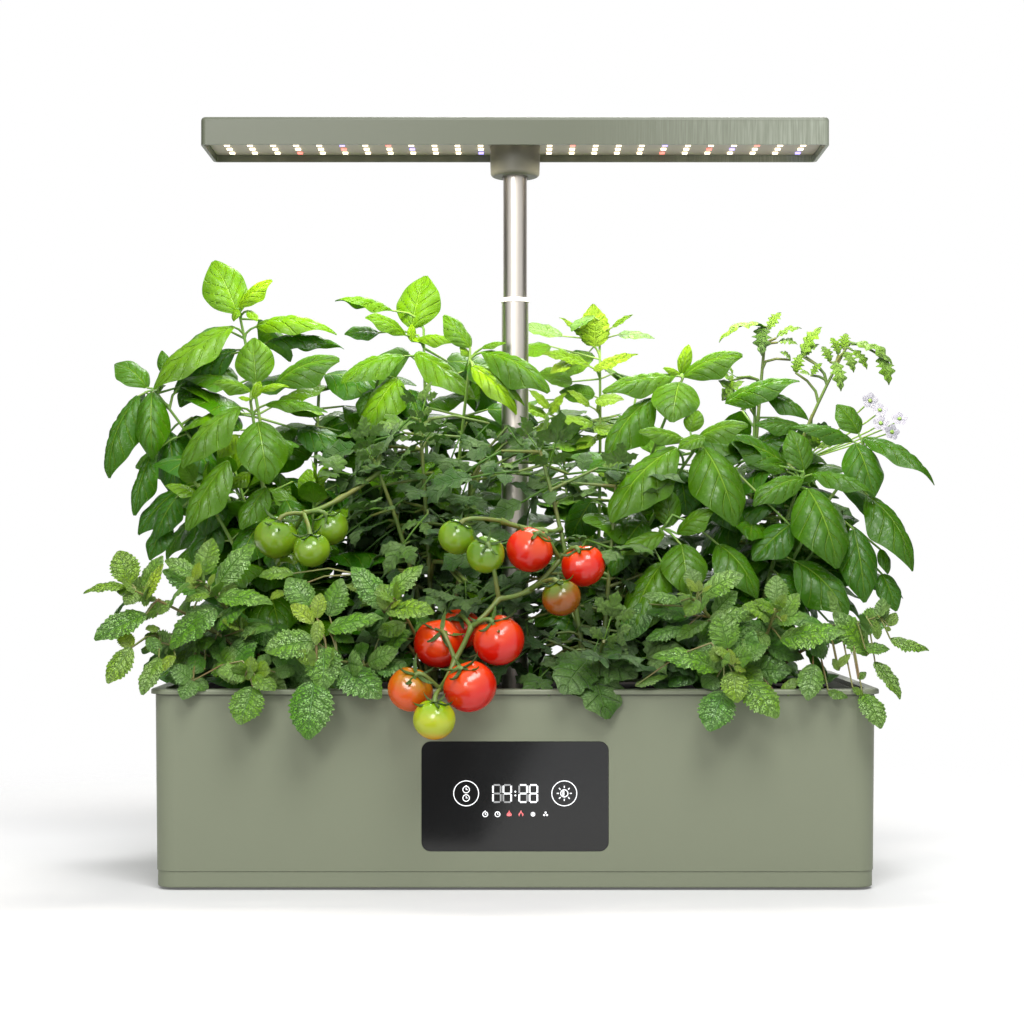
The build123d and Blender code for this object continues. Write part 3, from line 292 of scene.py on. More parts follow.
def fruitFinish(name, skin, shoulder, base):
    # colour runs from the base through the skin colour to the shoulder round the stalk
    material, tree, shader = startMaterial(name, {
        "Coat Weight": 0.35, "Coat Roughness": 0.16, "Subsurface Weight": 0.12, "Subsurface Scale": 0.004})
    crown = stored(tree, "crown")
    place = objectPlace(tree)
    drift = calc(tree, "MULTIPLY_ADD", noise(tree, place, 45.0, 3.0), 0.5,
                 calc(tree, "SUBTRACT", crown, 0.25))
    body = blendColour(tree, span(tree, drift, 0.62, 0.98, 0.0, 1.0, True), skin, shoulder)
    body = blendColour(tree, span(tree, drift, 0.35, 0.0, 0.0, 1.0, True), body, base)
    cells = wire(tree, "ShaderNodeTexVoronoi", {"Vector": place, "Scale": 900.0}, "Distance")
    specks = span(tree, cells, 0.0, 0.25, 0.12, 0.0)
    join(tree, blendColour(tree, specks, body, shoulder), shader, "Base Color")
    join(tree, span(tree, noise(tree, place, 120.0), 0.3, 0.7, 0.16, 0.26), shader, "Roughness")
    join(tree, bump(tree, noise(tree, place, 60.0, 1.0), 0.0004), shader, "Normal")
    return material


def smoothStep(value, low, high):
    share = np.clip((value - low) / (high - low), 0, 1)
    return share * share * (3 - 2 * share)


# A leaf blade is a thin closed shell, one unit from stalk to tip along X, its upper face towards Z.
# It gives back points, faces, places on the leaf's UV map and 1 for the points of the lower face.
def bladeSurface(look, dice):
    rows, half = look["rows"], look["half"]
    along = np.linspace(0.0, 1.0, rows + 1)
    across = np.linspace(-1.0, 1.0, 2 * half + 1)
    width = np.sin(np.pi * np.clip(along, 0.012, 0.988) ** look["belly"]) ** look["blunt"]
    width = width * look["width"] / 2
    width *= 1 - look["point"] * smoothStep(along, 0.68, 1.0)
    fade = np.sin(np.pi * np.clip(along, 0.02, 0.98)) ** 0.4
    saw = (along * look["teeth"] + 1e-6) % 1.0
    width *= 1 + look["bite"] * (saw - 0.5) * fade
    width *= 1 + look["lobe"] * np.cos(2 * np.pi * look["lobes"] * along ** 0.9 + np.pi) * fade
    bend = look["droop"] * dice.uniform(0.6, 1.4) * (0.35 - along ** 1.2)
    stepX, stepZ = np.cos(bend), np.sin(bend)
    spineX = np.concatenate(([0], np.cumsum((stepX[1:] + stepX[:-1]) / 2))) / rows
    spineZ = np.concatenate(([0], np.cumsum((stepZ[1:] + stepZ[:-1]) / 2))) / rows
    spineY = dice.uniform(-look["sway"], look["sway"]) * along ** 2
    y = width[:, None] * across[None, :]
    reach = np.abs(across)[None, :]
    rib = along[:, None] * look["veins"] - reach * look["slant"]
    quilt = np.abs(np.sin(np.pi * rib)) ** 0.8 * (1 - reach ** 3) * smoothStep(reach, 0.02, 0.3)
    quilt *= (width / width.max())[:, None]
    turn = dice.uniform(0, 6.28, 3)
    wave = np.sin(2 * np.pi * look["waves"] * along[:, None] + turn[0] + (across > 0)[None, :] * turn[1])
    lift = look["fold"] * dice.uniform(0.6, 1.4) * np.abs(y)
    lift = lift - look["cup"] * dice.uniform(0.5, 1.5) * y ** 2 / (look["width"] / 2)
    lift = lift + look["quilt"] * quilt + look["wave"] * wave * reach ** 2 * fade[:, None]
    lift = lift + dice.uniform(-look["twist"], look["twist"]) * y * along[:, None] * 2
    x = spineX[:, None] - np.sin(bend)[:, None] * lift
    z = spineZ[:, None] + np.cos(bend)[:, None] * lift
    y = y + spineY[:, None]
    tip = Vector((x[-1, half], y[-1, half], z[-1, half]))
    level = np.array(tip.to_track_quat("X", "Z").to_matrix().transposed()) / tip.length
    thick = look["thick"] * (1 - reach ** 4) * np.clip(4 * fade - 2, 0.15, 1)[:, None]
    thick = thick + look["thick"] * 3 * np.exp(-(reach / 0.1) ** 2) * (1 - along)[:, None]
    upper = np.stack((x, y, z), -1)
    lower = np.stack((x + np.sin(bend)[:, None] * thick, y, z - np.cos(bend)[:, None] * thick), -1)
    count = rows + 1, 2 * half + 1
    top = np.arange(count[0] * count[1]).reshape(count)
    inner = np.zeros(count, bool)
    inner[1:-1, 1:-1] = True
    bottom = top.copy()
    bottom[inner] = top.size + np.arange(inner.sum())
    points = np.concatenate((upper.reshape(-1, 3), lower[inner])) @ level.T
    uv = np.stack(np.broadcast_arrays(along[:, None], (across[None, :] + 1) / 2), -1)
    uv = np.concatenate((uv.reshape(-1, 2), uv[inner]))
    under = np.concatenate((np.zeros(top.size), np.ones(inner.sum())))
    faces = []
    for grid, flip in ((top, False), (bottom, True)):
        corners = [grid[:-1, :-1], grid[1:, :-1], grid[1:, 1:], grid[:-1, 1:]]
        if flip:
            corners.reverse()
        faces.append(np.stack(corners, -1).reshape(-1, 4))
    return points, np.concatenate(faces), uv, under


ribSag = -0.16                             # how far a compound leaf's rib bends down over its length
fanBlades = ((0, 0.95), (46, 0.75), (-46, 0.8), (98, 0.5), (-98, 0.45))            # degrees and sizes
ribRing = dict(corners=5, radius=0.013, side=0.7)


def ribPoint(place):
    return np.array((place, 0, ribSag * place ** 2))


def ribTube(place, angle, ahead):
    # a thin tube from the rib, or from the leaf's foot, to a blade
    corners = ribRing["corners"]
    end = ribPoint(place) + 0.06 * ahead
    begin = ribPoint(place) if angle else np.zeros(3)
    middle = (begin + end) / 2 + np.array((0, 0, 0 if angle else 0.02))
    turns = np.linspace(0, 2 * math.pi, corners, endpoint=False)
    circle = [np.array((0, math.cos(turn), math.sin(turn))) * ribRing["radius"] for turn in turns]
    if angle:
        spin = np.array(Matrix.Rotation(math.radians(angle), 3, "Z"))
        circle = [spin @ point * ribRing["side"] for point in circle]
    points = np.array([ring + point for ring in (begin, middle, end) for point in circle])
    faces = []
    for first in (0, corners):
        for here in range(corners):
            after = (here + 1) % corners
            faces.append([first + corners + here, first + corners + after, first + after, first + here])
    faces += [list(range(corners)), list(range(3 * corners - 1, 2 * corners - 1, -1))]
    return points, faces, np.full((3 * corners, 2), 0.5), np.zeros(3 * corners)


# A compound leaf: one blade at the end of a rib and smaller ones in pairs along it, or a fan of blades.
def compoundLeaf(look, dice, fan=False):
    seats = [(0.52, 0.0, 0.5)]
    if fan:
        seats = [(0.0, angle, size) for angle, size in fanBlades]
    for number in range(0 if fan else look["pairs"]):
        share = number / max(look["pairs"] - 1, 1)
        place, size = 0.16 + 0.42 * share, 0.3 + 0.12 * share
        seats += [(place, side * dice.uniform(55, 75), size * dice.uniform(0.85, 1.1)) for side in (-1, 1)]
    headings = [np.array((math.cos(math.radians(angle)), math.sin(math.radians(angle)), 0))
                for place, angle, size in seats]
    whole = []
    for (place, angle, size), ahead in zip(seats, headings):
        points, *rest = bladeSurface(look, dice)
        tilt = Matrix.Rotation(math.radians(dice.uniform(-12, 22)), 3, "Y")
        tilt = Matrix.Rotation(math.radians(angle), 3, "Z") @ tilt
        whole.append((points @ np.array(tilt).T * size + ribPoint(place) + 0.05 * ahead, *rest))
    whole += [ribTube(place, angle, ahead) for (place, angle, size), ahead in zip(seats, headings)]
    faces, offset = [], 0
    for points, own, *_ in whole:
        faces += [[corner + offset for corner in face] for face in own]
        offset += len(points)
    points, uv, under = (np.concatenate([part[number] for part in whole]) for number in (0, 2, 3))
    return points, faces, uv, under


def shapeMesh(name, points, faces, uv, under):
    mesh = bpy.data.meshes.new(name)
    mesh.from_pydata([tuple(point) for point in points], [],
                     [tuple(int(corner) for corner in face) for face in faces])
    layer = mesh.uv_layers.new(name="leafUv")
    corners = np.empty(len(mesh.loops), np.int32)
    mesh.loops.foreach_get("vertex_index", corners)
    layer.data.foreach_set("uv", np.asarray(uv)[corners].astype(np.float32).ravel())
    mesh.attributes.new("under", "FLOAT", "POINT").data.foreach_set("value", np.asarray(under, np.float32))
    mesh.shade_smooth()
    rim = under < 0.5                      # the two faces meet in a crisp edge
    links = np.empty(len(mesh.edges) * 2, np.int32)
    mesh.edges.foreach_get("vertices", links)
    sides = {}
    for number, face in enumerate(faces):
        for first, second in zip(face, list(face[1:]) + [face[0]]):
            sides.setdefault((min(first, second), max(first, second)), []).append(number)
    lower = [any(under[corner] > 0.5 for corner in face) for face in faces]
    crisp = []
    for a, b in links.reshape(-1, 2):
        found = sides.get((min(a, b), max(a, b)), [])
        crisp.append(len(found) == 2 and lower[found[0]] != lower[found[1]] and rim[a] and rim[b])
    mesh.attributes.new("sharp_edge", "BOOLEAN", "EDGE").data.foreach_set("value", np.array(crisp, bool))
    return mesh


# What each kind of leaf looks like; lengths are shares of the blade's length.
plainLook = dict(teeth=0, bite=0.0, lobe=0.0, lobes=3, sway=0.05, quilt=0.0, slant=1.0, pairs=0)
leafLooks = {
    "basil": dict(
        plainLook, rows=28, half=6, width=0.72, belly=0.88, blunt=0.62, point=0.22, droop=0.8, fold=0.12,
        cup=0.50, quilt=0.044, wave=0.022, waves=2.3, twist=0.16, veins=5.0, slant=1.9, thick=0.006, count=6,
        seed=3),
    "mint": dict(
        plainLook, rows=30, half=5, width=0.72, belly=0.86, blunt=0.62, point=0.15, teeth=10, bite=0.24,
        droop=0.6, fold=0.16, cup=0.28, quilt=0.044, wave=0.022, waves=3.0, twist=0.14, veins=7.0, slant=1.2,
        thick=0.007, count=6, seed=11),
    "balm": dict(
        plainLook, rows=27, half=5, width=0.74, belly=0.74, blunt=0.66, point=0.30, teeth=9, bite=0.16,
        droop=0.5, fold=0.20, cup=0.20, quilt=0.035, wave=0.020, waves=3.0, twist=0.12, veins=6.0, slant=1.3,
        thick=0.007, count=5, seed=19),
    "tomato": dict(
        plainLook, rows=20, half=3, width=0.56, belly=0.78, blunt=0.75, point=0.50, lobe=0.26, lobes=3.2,
        droop=0.9, sway=0.08, fold=0.22, cup=0.30, quilt=0.040, wave=0.035, waves=2.6, twist=0.20, veins=5.0,
        thick=0.008, pairs=2, count=5, seed=29),
    "sepal": dict(
        plainLook, rows=6, half=1, width=0.17, belly=0.62, blunt=0.8, point=0.3, droop=-1.1, sway=0.12,
        fold=0.3, cup=0.0, wave=0.0, waves=1.0, twist=0.4, veins=3.0, thick=0.03, count=4, seed=41),
    "petal": dict(
        plainLook, rows=8, half=3, width=0.85, belly=1.35, blunt=0.6, point=0.0, droop=0.5, sway=0.03,
        fold=0.05, cup=0.3, wave=0.02, waves=2.0, twist=0.1, veins=3.0, thick=0.02, count=3, seed=47),
}
plainShapes = 2                            # simpler shapes of each kind, for leaves deep in a plant


def makeLeafShapes(kind):
    look = leafLooks[kind]
    dice = np.random.default_rng(look["seed"])
    shapes = bpy.data.collections.new(kind + "Leaves")

    def keep(number, form):
        mesh = shapeMesh(f"{kind}Leaf{number}", *form)
        shapes.objects.link(bpy.data.objects.new(mesh.name, mesh))

    plain = dict(look, rows=8, half=2, teeth=0, pairs=min(look["pairs"], 1))
    for number in range(look["count"] + plainShapes):
        use = look if number < look["count"] else plain
        keep(number, compoundLeaf(use, dice) if look["pairs"] else bladeSurface(use, dice))
    if kind == "tomato":                   # one long lobed blade and one broad palmate leaf
        slim = dict(look, rows=30, width=0.36, belly=0.9, blunt=0.7, point=0.4, lobe=0.34, lobes=5.2,
                    droop=1.0)
        keep(look["count"] + plainShapes + 1, bladeSurface(slim, dice))
        broad = dict(look, rows=24, half=5, width=0.8, belly=0.9, blunt=0.6, point=0.1, teeth=7, bite=0.1,
                     lobe=0.14, lobes=4.3, droop=0.5)
        keep(look["count"] + plainShapes, compoundLeaf(broad, dice, True))
    return shapes


leafShapes = {kind: makeLeafShapes(kind) for kind in leafLooks}
print("leaf shapes ready")


# One tree grows every plant: edges become stems, and loose points become leaves.
def growthTree():
    tree = bpy.data.node_groups.new("plantGrowth", "GeometryNodeTree")
    face = tree.interface
    face.new_socket("Geometry", in_out="INPUT", socket_type="NodeSocketGeometry")
    sockets = {}
    for label, kind, value in (
        ("Leaf shapes", "NodeSocketCollection", None), ("Leaf size", "NodeSocketFloat", 1.0),
        ("Stem thickness", "NodeSocketFloat", 1.0), ("Stem sides", "NodeSocketInt", 6),
        ("Leaf finish", "NodeSocketMaterial", None), ("Stem finish", "NodeSocketMaterial", None),
    ):
        socket = face.new_socket(label, in_out="INPUT", socket_type=kind)
        if value is not None:
            socket.default_value = value
        sockets[label] = socket.identifier
    face.new_socket("Geometry", in_out="OUTPUT", socket_type="NodeSocketGeometry")
    given = tree.nodes.new("NodeGroupInput").outputs

    def attribute(name, kind):
        return wire(tree, "GeometryNodeInputNamedAttribute", {"Name": name}, "Attribute", data_type=kind)

    ring = wire(tree, "GeometryNodeCurvePrimitiveCircle", {"Resolution": given["Stem sides"], "Radius": 1.0})
    lines = wire(tree, "GeometryNodeMeshToCurve", {"Mesh": given["Geometry"]})
    thick = wire(tree, "ShaderNodeMath", {
        0: attribute("thick", "FLOAT"), 1: given["Stem thickness"]}, operation="MULTIPLY")
    sized = wire(tree, "GeometryNodeSetCurveRadius", {"Curve": lines, "Radius": thick})
    radius = wire(tree, "GeometryNodeInputRadius")
    tubes = wire(tree, "GeometryNodeCurveToMesh", {
        "Curve": sized, "Profile Curve": ring, "Scale": radius, "Fill Caps": True})
    stems = wire(tree, "GeometryNodeSetMaterial", {"Geometry": tubes, "Material": given["Stem finish"]})
    kinds = wire(tree, "GeometryNodeCollectionInfo", {
        "Collection": given["Leaf shapes"], "Separate Children": True, "Reset Children": True})
    turn = wire(tree, "FunctionNodeEulerToRotation", {0: attribute("turn", "FLOAT_VECTOR")})
    size = wire(tree, "ShaderNodeVectorMath", {
        0: attribute("span", "FLOAT_VECTOR"), "Scale": given["Leaf size"]}, operation="SCALE")
    leaves = wire(tree, "GeometryNodeInstanceOnPoints", {
        "Points": given["Geometry"], "Selection": attribute("isLeaf", "BOOLEAN"), "Instance": kinds,
        "Pick Instance": True, "Instance Index": attribute("shape", "INT"), "Rotation": turn, "Scale": size})
    real = wire(tree, "GeometryNodeRealizeInstances", {"Geometry": leaves})
    foliage = wire(tree, "GeometryNodeSetMaterial", {"Geometry": real, "Material": given["Leaf finish"]})
    both = wire(tree, "GeometryNodeJoinGeometry")
    for part in (foliage, stems):
        tree.links.new(part, both.node.inputs[0])
    smooth = wire(tree, "GeometryNodeSetShadeSmooth", {"Geometry": both, "Shade Smooth": True})
    tree.links.new(smooth, tree.nodes.new("NodeGroupOutput").inputs["Geometry"])
    return tree, sockets


plantGrowth, growthSockets = growthTree()


# stems: lists of (point, radius). leaves: base, tip, upward direction, width share, shape number and tone.
def growPlant(name, stems, leaves, kind, sides=6):
    points, edges, thick = [], [], []
    for stem in stems:
        for number, (point, radius) in enumerate(stem):
            if number:
                edges.append((len(points) - 1, len(points)))
            points.append(tuple(point))
            thick.append(radius)
    stemCount, leafCount = len(points), len(leaves)
    turn, size, shape, tone = [], [], [], []
    for base, tip, up, width, number, shade in leaves:
        forward = (tip - base).normalized()
        side = up.cross(forward).normalized()
        turn.append(tuple(Matrix((forward, side, forward.cross(side))).transposed().to_euler()))
        length = (tip - base).length
        size.append((length, length * width, length))
        shape.append(number)
        tone.append(shade)
        points.append(tuple(base))
    mesh = bpy.data.meshes.new(name + "Growth")
    mesh.from_pydata(points, edges, [])

    def store(label, kindOf, stemValues, leafValues):
        field = "vector" if kindOf == "FLOAT_VECTOR" else "value"
        numbers = {"INT": np.int32, "BOOLEAN": bool}.get(kindOf, np.float32)
        flat = np.array(stemValues + leafValues, numbers).ravel()
        mesh.attributes.new(label, kindOf, "POINT").data.foreach_set(field, flat)

    store("turn", "FLOAT_VECTOR", [(0, 0, 0)] * stemCount, turn)
    store("span", "FLOAT_VECTOR", [(0, 0, 0)] * stemCount, size)
    store("shape", "INT", [0] * stemCount, shape)
    store("tone", "FLOAT", [0.5] * stemCount, tone)
    store("isLeaf", "BOOLEAN", [False] * stemCount, [True] * leafCount)
    store("thick", "FLOAT", thick, [0.0] * leafCount)
    seed = newObject(name + "Seed", mesh)
    modifier = seed.modifiers.new("growth", "NODES")
    modifier.node_group = plantGrowth
    modifier[growthSockets["Leaf shapes"]] = leafShapes[kind]
    modifier[growthSockets["Stem sides"]] = sides
    modifier[growthSockets["Leaf finish"]] = leafFinishes[kind]
    modifier[growthSockets["Stem finish"]] = stalkFinishes[kind]
    evaluated = seed.evaluated_get(bpy.context.evaluated_depsgraph_get())
    grown = bpy.data.meshes.new_from_object(evaluated)
    for label in ("turn", "span", "shape", "isLeaf", "thick"):
        if label in grown.attributes:
            grown.attributes.remove(grown.attributes[label])
    grown.name = name
    piece = newObject(name, grown)
    bpy.data.objects.remove(seed)
    return piece


# Finishes of the leaves, from old growth to young.
leafFinishes = {
    "basil": foliageFinish("basilLeaf", dict(
        shine=0.5, veins=5.0, slant=1.9, net=16.0, netTint=0.1, veinTint=0.75, rough=0.26, relief=0.0009,
        crinkle=0.08, through=0.34, old=tint(44, 104, 4), young=tint(152, 198, 6), vein=tint(138, 182, 48),
        under=tint(102, 150, 40), lit=tint(170, 225, 16))),
    # the mint's dark vein colour, laid on its net of small veins too, is painted shade in the sunken veins
    "mint": foliageFinish("mintLeaf", dict(
        shine=0.7, veins=7.0, slant=1.2, net=17.0, netTint=0.8, veinTint=0.6, rough=0.34, relief=0.0032,
        crinkle=0.85, paintedHighlight=0.38, fuzz=0.12, through=0.3, old=tint(90, 172, 6), young=tint(208, 244, 10),
        vein=tint(48, 112, 6), under=tint(124, 168, 76), lit=tint(160, 215, 20))),
    "balm": foliageFinish("balmLeaf", dict(
        shine=0.5, veins=6.0, slant=1.3, net=16.0, netTint=0.3, veinTint=0.35, rough=0.42, relief=0.0022,
        paintedHighlight=0.08, fuzz=0.04, through=0.32, old=tint(104, 172, 14), young=tint(188, 226, 28),
        vein=tint(170, 206, 70), under=tint(136, 178, 60), lit=tint(175, 225, 20))),
    "tomato": foliageFinish("tomatoLeaf", dict(
        shine=0.4, veins=5.0, slant=1.0, net=12.0, netTint=0.15, veinTint=0.3, rough=0.48, relief=0.0018,
        crinkle=0.2, paintedHighlight=0.18, fuzz=0.15, through=0.3, old=tint(34, 86, 6), young=tint(158, 212, 20),
        vein=tint(110, 150, 56), under=tint(92, 130, 56), lit=tint(150, 205, 24))),
}
leafFinishes["sepal"] = leafFinishes["tomato"]
leafFinishes["petal"] = foliageFinish("flowerPetal", dict(
    shine=0.3, veins=3.0, slant=1.0, net=10.0, netTint=0.0, veinTint=0.1, rough=0.6, relief=0.0002,
    old=tint(206, 204, 218), young=tint(224, 222, 230), vein=tint(214, 210, 190), under=tint(210, 208, 214),
    lit=tint(255, 255, 250), through=0.3))
stalkFinishes = {
    "basil": stalkFinish("basilStalk", tint(112, 152, 62), tint(140, 160, 84)),
    "mint": stalkFinish("mintStalk", tint(112, 122, 62), tint(112, 66, 48)),
    "balm": stalkFinish("balmStalk", tint(140, 178, 80), tint(156, 176, 96)),
    "tomato": stalkFinish("tomatoStalk", tint(96, 122, 52), tint(118, 108, 56)),
}
stalkFinishes["sepal"] = stalkFinishes["tomato"]
stalkFinishes["petal"] = stalkFinishes["balm"]
# Heights of the band of painted shade under the rolled rim.
rimShadeBand = dict(foot=0.1186, low=0.1192, high=0.1196, top=0.1199, depth=0.75)     # heights in metres


# Finishes of the hardware, by record slot.
def rimWithPaintedShade(material):
    # painted shade: a dark band is blended into the colour just under the rolled rim, where the groove's
    # shadow falls
    tree = material.node_tree
    shader = tree.nodes["Principled BSDF"]
    height = axisPart(tree, objectPlace(tree), "Z")
    rising = span(tree, height, rimShadeBand["foot"], rimShadeBand["low"])
    grooveShade = times(tree, rising, span(tree, height, rimShadeBand["high"], rimShadeBand["top"], 1.0, 0.0))
    plain = shader.inputs["Base Color"].links[0].from_socket
    dark = times(tree, grooveShade, rimShadeBand["depth"])
    join(tree, blendColour(tree, dark, plain, tint(52, 56, 44)), shader, "Base Color")
    return material


slotFinishes = {
    "sage_plastic": rimWithPaintedShade(mouldedFinish("sagePlastic", tint(121, 127, 105), 0.46, 0.03)),
    "tank_plastic": mouldedFinish("tankPlastic", tint(188, 190, 182), 0.5),
    "deck_plastic": mouldedFinish("deckPlastic", tint(34, 26, 20), 0.9, 0.3, 900.0, 0.0002,
                                  {"Specular IOR Level": 0.1}),
    "rubber": mouldedFinish("footRubber", tint(34, 34, 33), 0.75),
    "steel": metalFinish("screwSteel", tint(190, 190, 192), 0.3, 300.0, (1, 1, 1)),
    "pot_plastic": mouldedFinish("potPlastic", tint(28, 24, 20), 0.7, sockets={"Specular IOR Level": 0.2}),
    "sponge": mouldedFinish("plugSponge", tint(58, 46, 34), 0.9, 0.35, 500.0, 0.0006),
    "panel_gloss": mouldedFinish("panelGloss", tint(20, 21, 22), 0.12, 0.06, 600.0, 0.000002,
                                 {"Specular IOR Level": 0.6}),
    "adhesive": mouldedFinish("adhesiveTape", tint(28, 28, 28), 0.8),
    "circuit_board": mouldedFinish("circuitBoard", tint(30, 84, 52), 0.4),
    "display": mouldedFinish("displayFrame", tint(26, 26, 27), 0.3),
    "black_plastic": mouldedFinish("blackPlastic", tint(26, 26, 26), 0.5),
    "tube_aluminium": metalFinish("tubeSatin", tint(208, 202, 194), 0.36, 900.0, (1, 1, 0.04)),
    "bush_plastic": mouldedFinish("bushPlastic", tint(236, 233, 226), 0.35),
    "bracket_plastic": mouldedFinish("bracketPlastic", tint(100, 99, 86), 0.5, 0.06),
    "lamp_paint": brushedPaintWithPaintedSheen("lampPaint", tint(93, 98, 80)),
    "lamp_board": mouldedFinish("lampBoard", tint(176, 166, 152), 0.5),
    "led_white": diodeFinish("diodeWhite", tint(255, 236, 196), 3.0),
    "led_red": diodeFinish("diodeRed", tint(255, 90, 60), 1.6),
    "led_blue": diodeFinish("diodeBlue", tint(150, 130, 255), 2.0),
    "pump_plastic": mouldedFinish("pumpPlastic", tint(40, 40, 44), 0.5),
    "rotor_plastic": mouldedFinish("rotorPlastic", tint(176, 176, 174), 0.45),
    "clear_hose": mouldedFinish("hoseSilicone", tint(200, 204, 200), 0.4),
    "float_white": mouldedFinish("floatFoam", tint(228, 226, 220), 0.8),
}
slotOf = {part["node"]: part["material_slot"] for part in frame["record"]["subparts"]}
for nodeName, node in nodes.items():
    finish = slotFinishes.get(slotOf[nodeName])
    if finish:
        node.data.materials.clear()
        node.data.materials.append(finish)

# The coiled lead inside the pole, copied from its part.
lead = newObject("poleLead", nodes["lamp_cable"].data.copy())
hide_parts("lamp_cable")
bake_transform(lead)
print("finishes ready, lead faces", len(lead.data.polygons))

# How each kind of plant carries its leaves, in metres and degrees, from the newest pair down.
habits = {
    "basil": dict(pairs=8, gap=0.012, grow=1.2, leaf=0.047, young=0.34, stalk=0.30, close=14, open=88,
                  sag=34, stem=0.0017, stalkRadius=0.0008),
    "mint": dict(pairs=6, gap=0.010, grow=1.15, leaf=0.031, young=0.4, stalk=0.18, close=30, open=92,
                 sag=22, stem=0.0014, stalkRadius=0.0006),
    "balm": dict(pairs=8, gap=0.013, grow=1.18, leaf=0.031, young=0.42, stalk=0.35, close=20, open=85,
                 sag=20, stem=0.0014, stalkRadius=0.0006),
    "tomato": dict(pairs=6, gap=0.015, grow=1.25, leaf=0.066, young=0.4, stalk=0.10, close=25, open=85,
                   sag=42, stem=0.0019, stalkRadius=0.0010),
}
podColumns = (-150, -50, 50, 150)
podRows = (-62, 0, 62)
spongeTop = 120.2                          # pods and sponge in mm
lowestNode = 0.128                         # no leaf starts below it, in metres
stemSteps = 18
stemFoot = dict(out=0.0041, down=0.0057, elbow=0.006)      # where a stem leaves its sponge, in metres

# Each plant: its kind, its pod's column and row, its leaf tone, and its shoots' tips and first headings.
plants = {
    "basil_rear_left": ("basil", 0, 2, 0.55, [
        (-38, -12, 246, 20, 3), (-93, -24, 194, 90, 3), (15, 8, 222, -10, 2), (-60, 20, 160, 40)]),
    "basil_rear_centre": ("basil", 1, 2, 0.5, [
        (-13, -2, 240, 15, 3), (-45, -14, 200, 50, 3), (20, -50, 212, 80, 3), (0, 20, 150, 0)]),
    "lemon_balm": ("balm", 2, 2, 0.6, [(8, -2, 246, 0, 3), (-20, 8, 192, 30, 2), (36, -6, 206, 20, 2)]),
    "tomato_rear_right": ("tomato", 3, 2, 0.75, [
        (23, 0, 239, 10, 3), (77, -8, 226, 0, 3), (50, 10, 150, 60)]),
    "basil_middle_left": ("basil", 0, 1, 0.4, [
        (-22, -22, 184, 30, 4), (-58, -26, 132, 90), (20, -10, 130, 10), (-40, 10, 150, 0)]),
    "tomato_middle": ("tomato", 1, 1, 0.25, [(-12, -18, 172, 25), (-42, -26, 146, 70), (20, -6, 120, 0)]),
    "basil_middle_centre": ("basil", 2, 1, 0.35, [
        (60, -8, 200, 0, 3), (64, -38, 150, 40, 3), (46, -52, 104, 65, 3), (30, 10, 120, 30)]),
    "basil_middle_right": ("basil", 3, 1, 0.3, [
        (38, -22, 138, 20, 4), (80, -4, 150, 90, 4), (10, 12, 190, -20, 2), (60, 10, 100, 0)]),
    "mint_front_left": ("mint", 0, 0, 0.45, [
        (-82, -40, 62, 0), (-43, -26, 66, 50), (-12, -57, 14, 90), (-70, -24, 30, 0), (-20, -30, 40, 20)]),
    "mint_front_centre": ("mint", 1, 0, 0.45, [(-24, -44, 58, 20), (-70, -57, 22, 90), (-44, -26, 62, 0)]),
    "tomato_front": ("tomato", 2, 0, 0.3, [(-34, 12, 150, 35), (14, 10, 128, 75), (4, -50, 32, 0)]),
    "mint_front_right": ("mint", 3, 0, 0.35, [
        (-42, -38, 58, 15), (-25, -57, 22, 90), (10, -44, 52, 80), (72, -34, 46, 0)]),
}
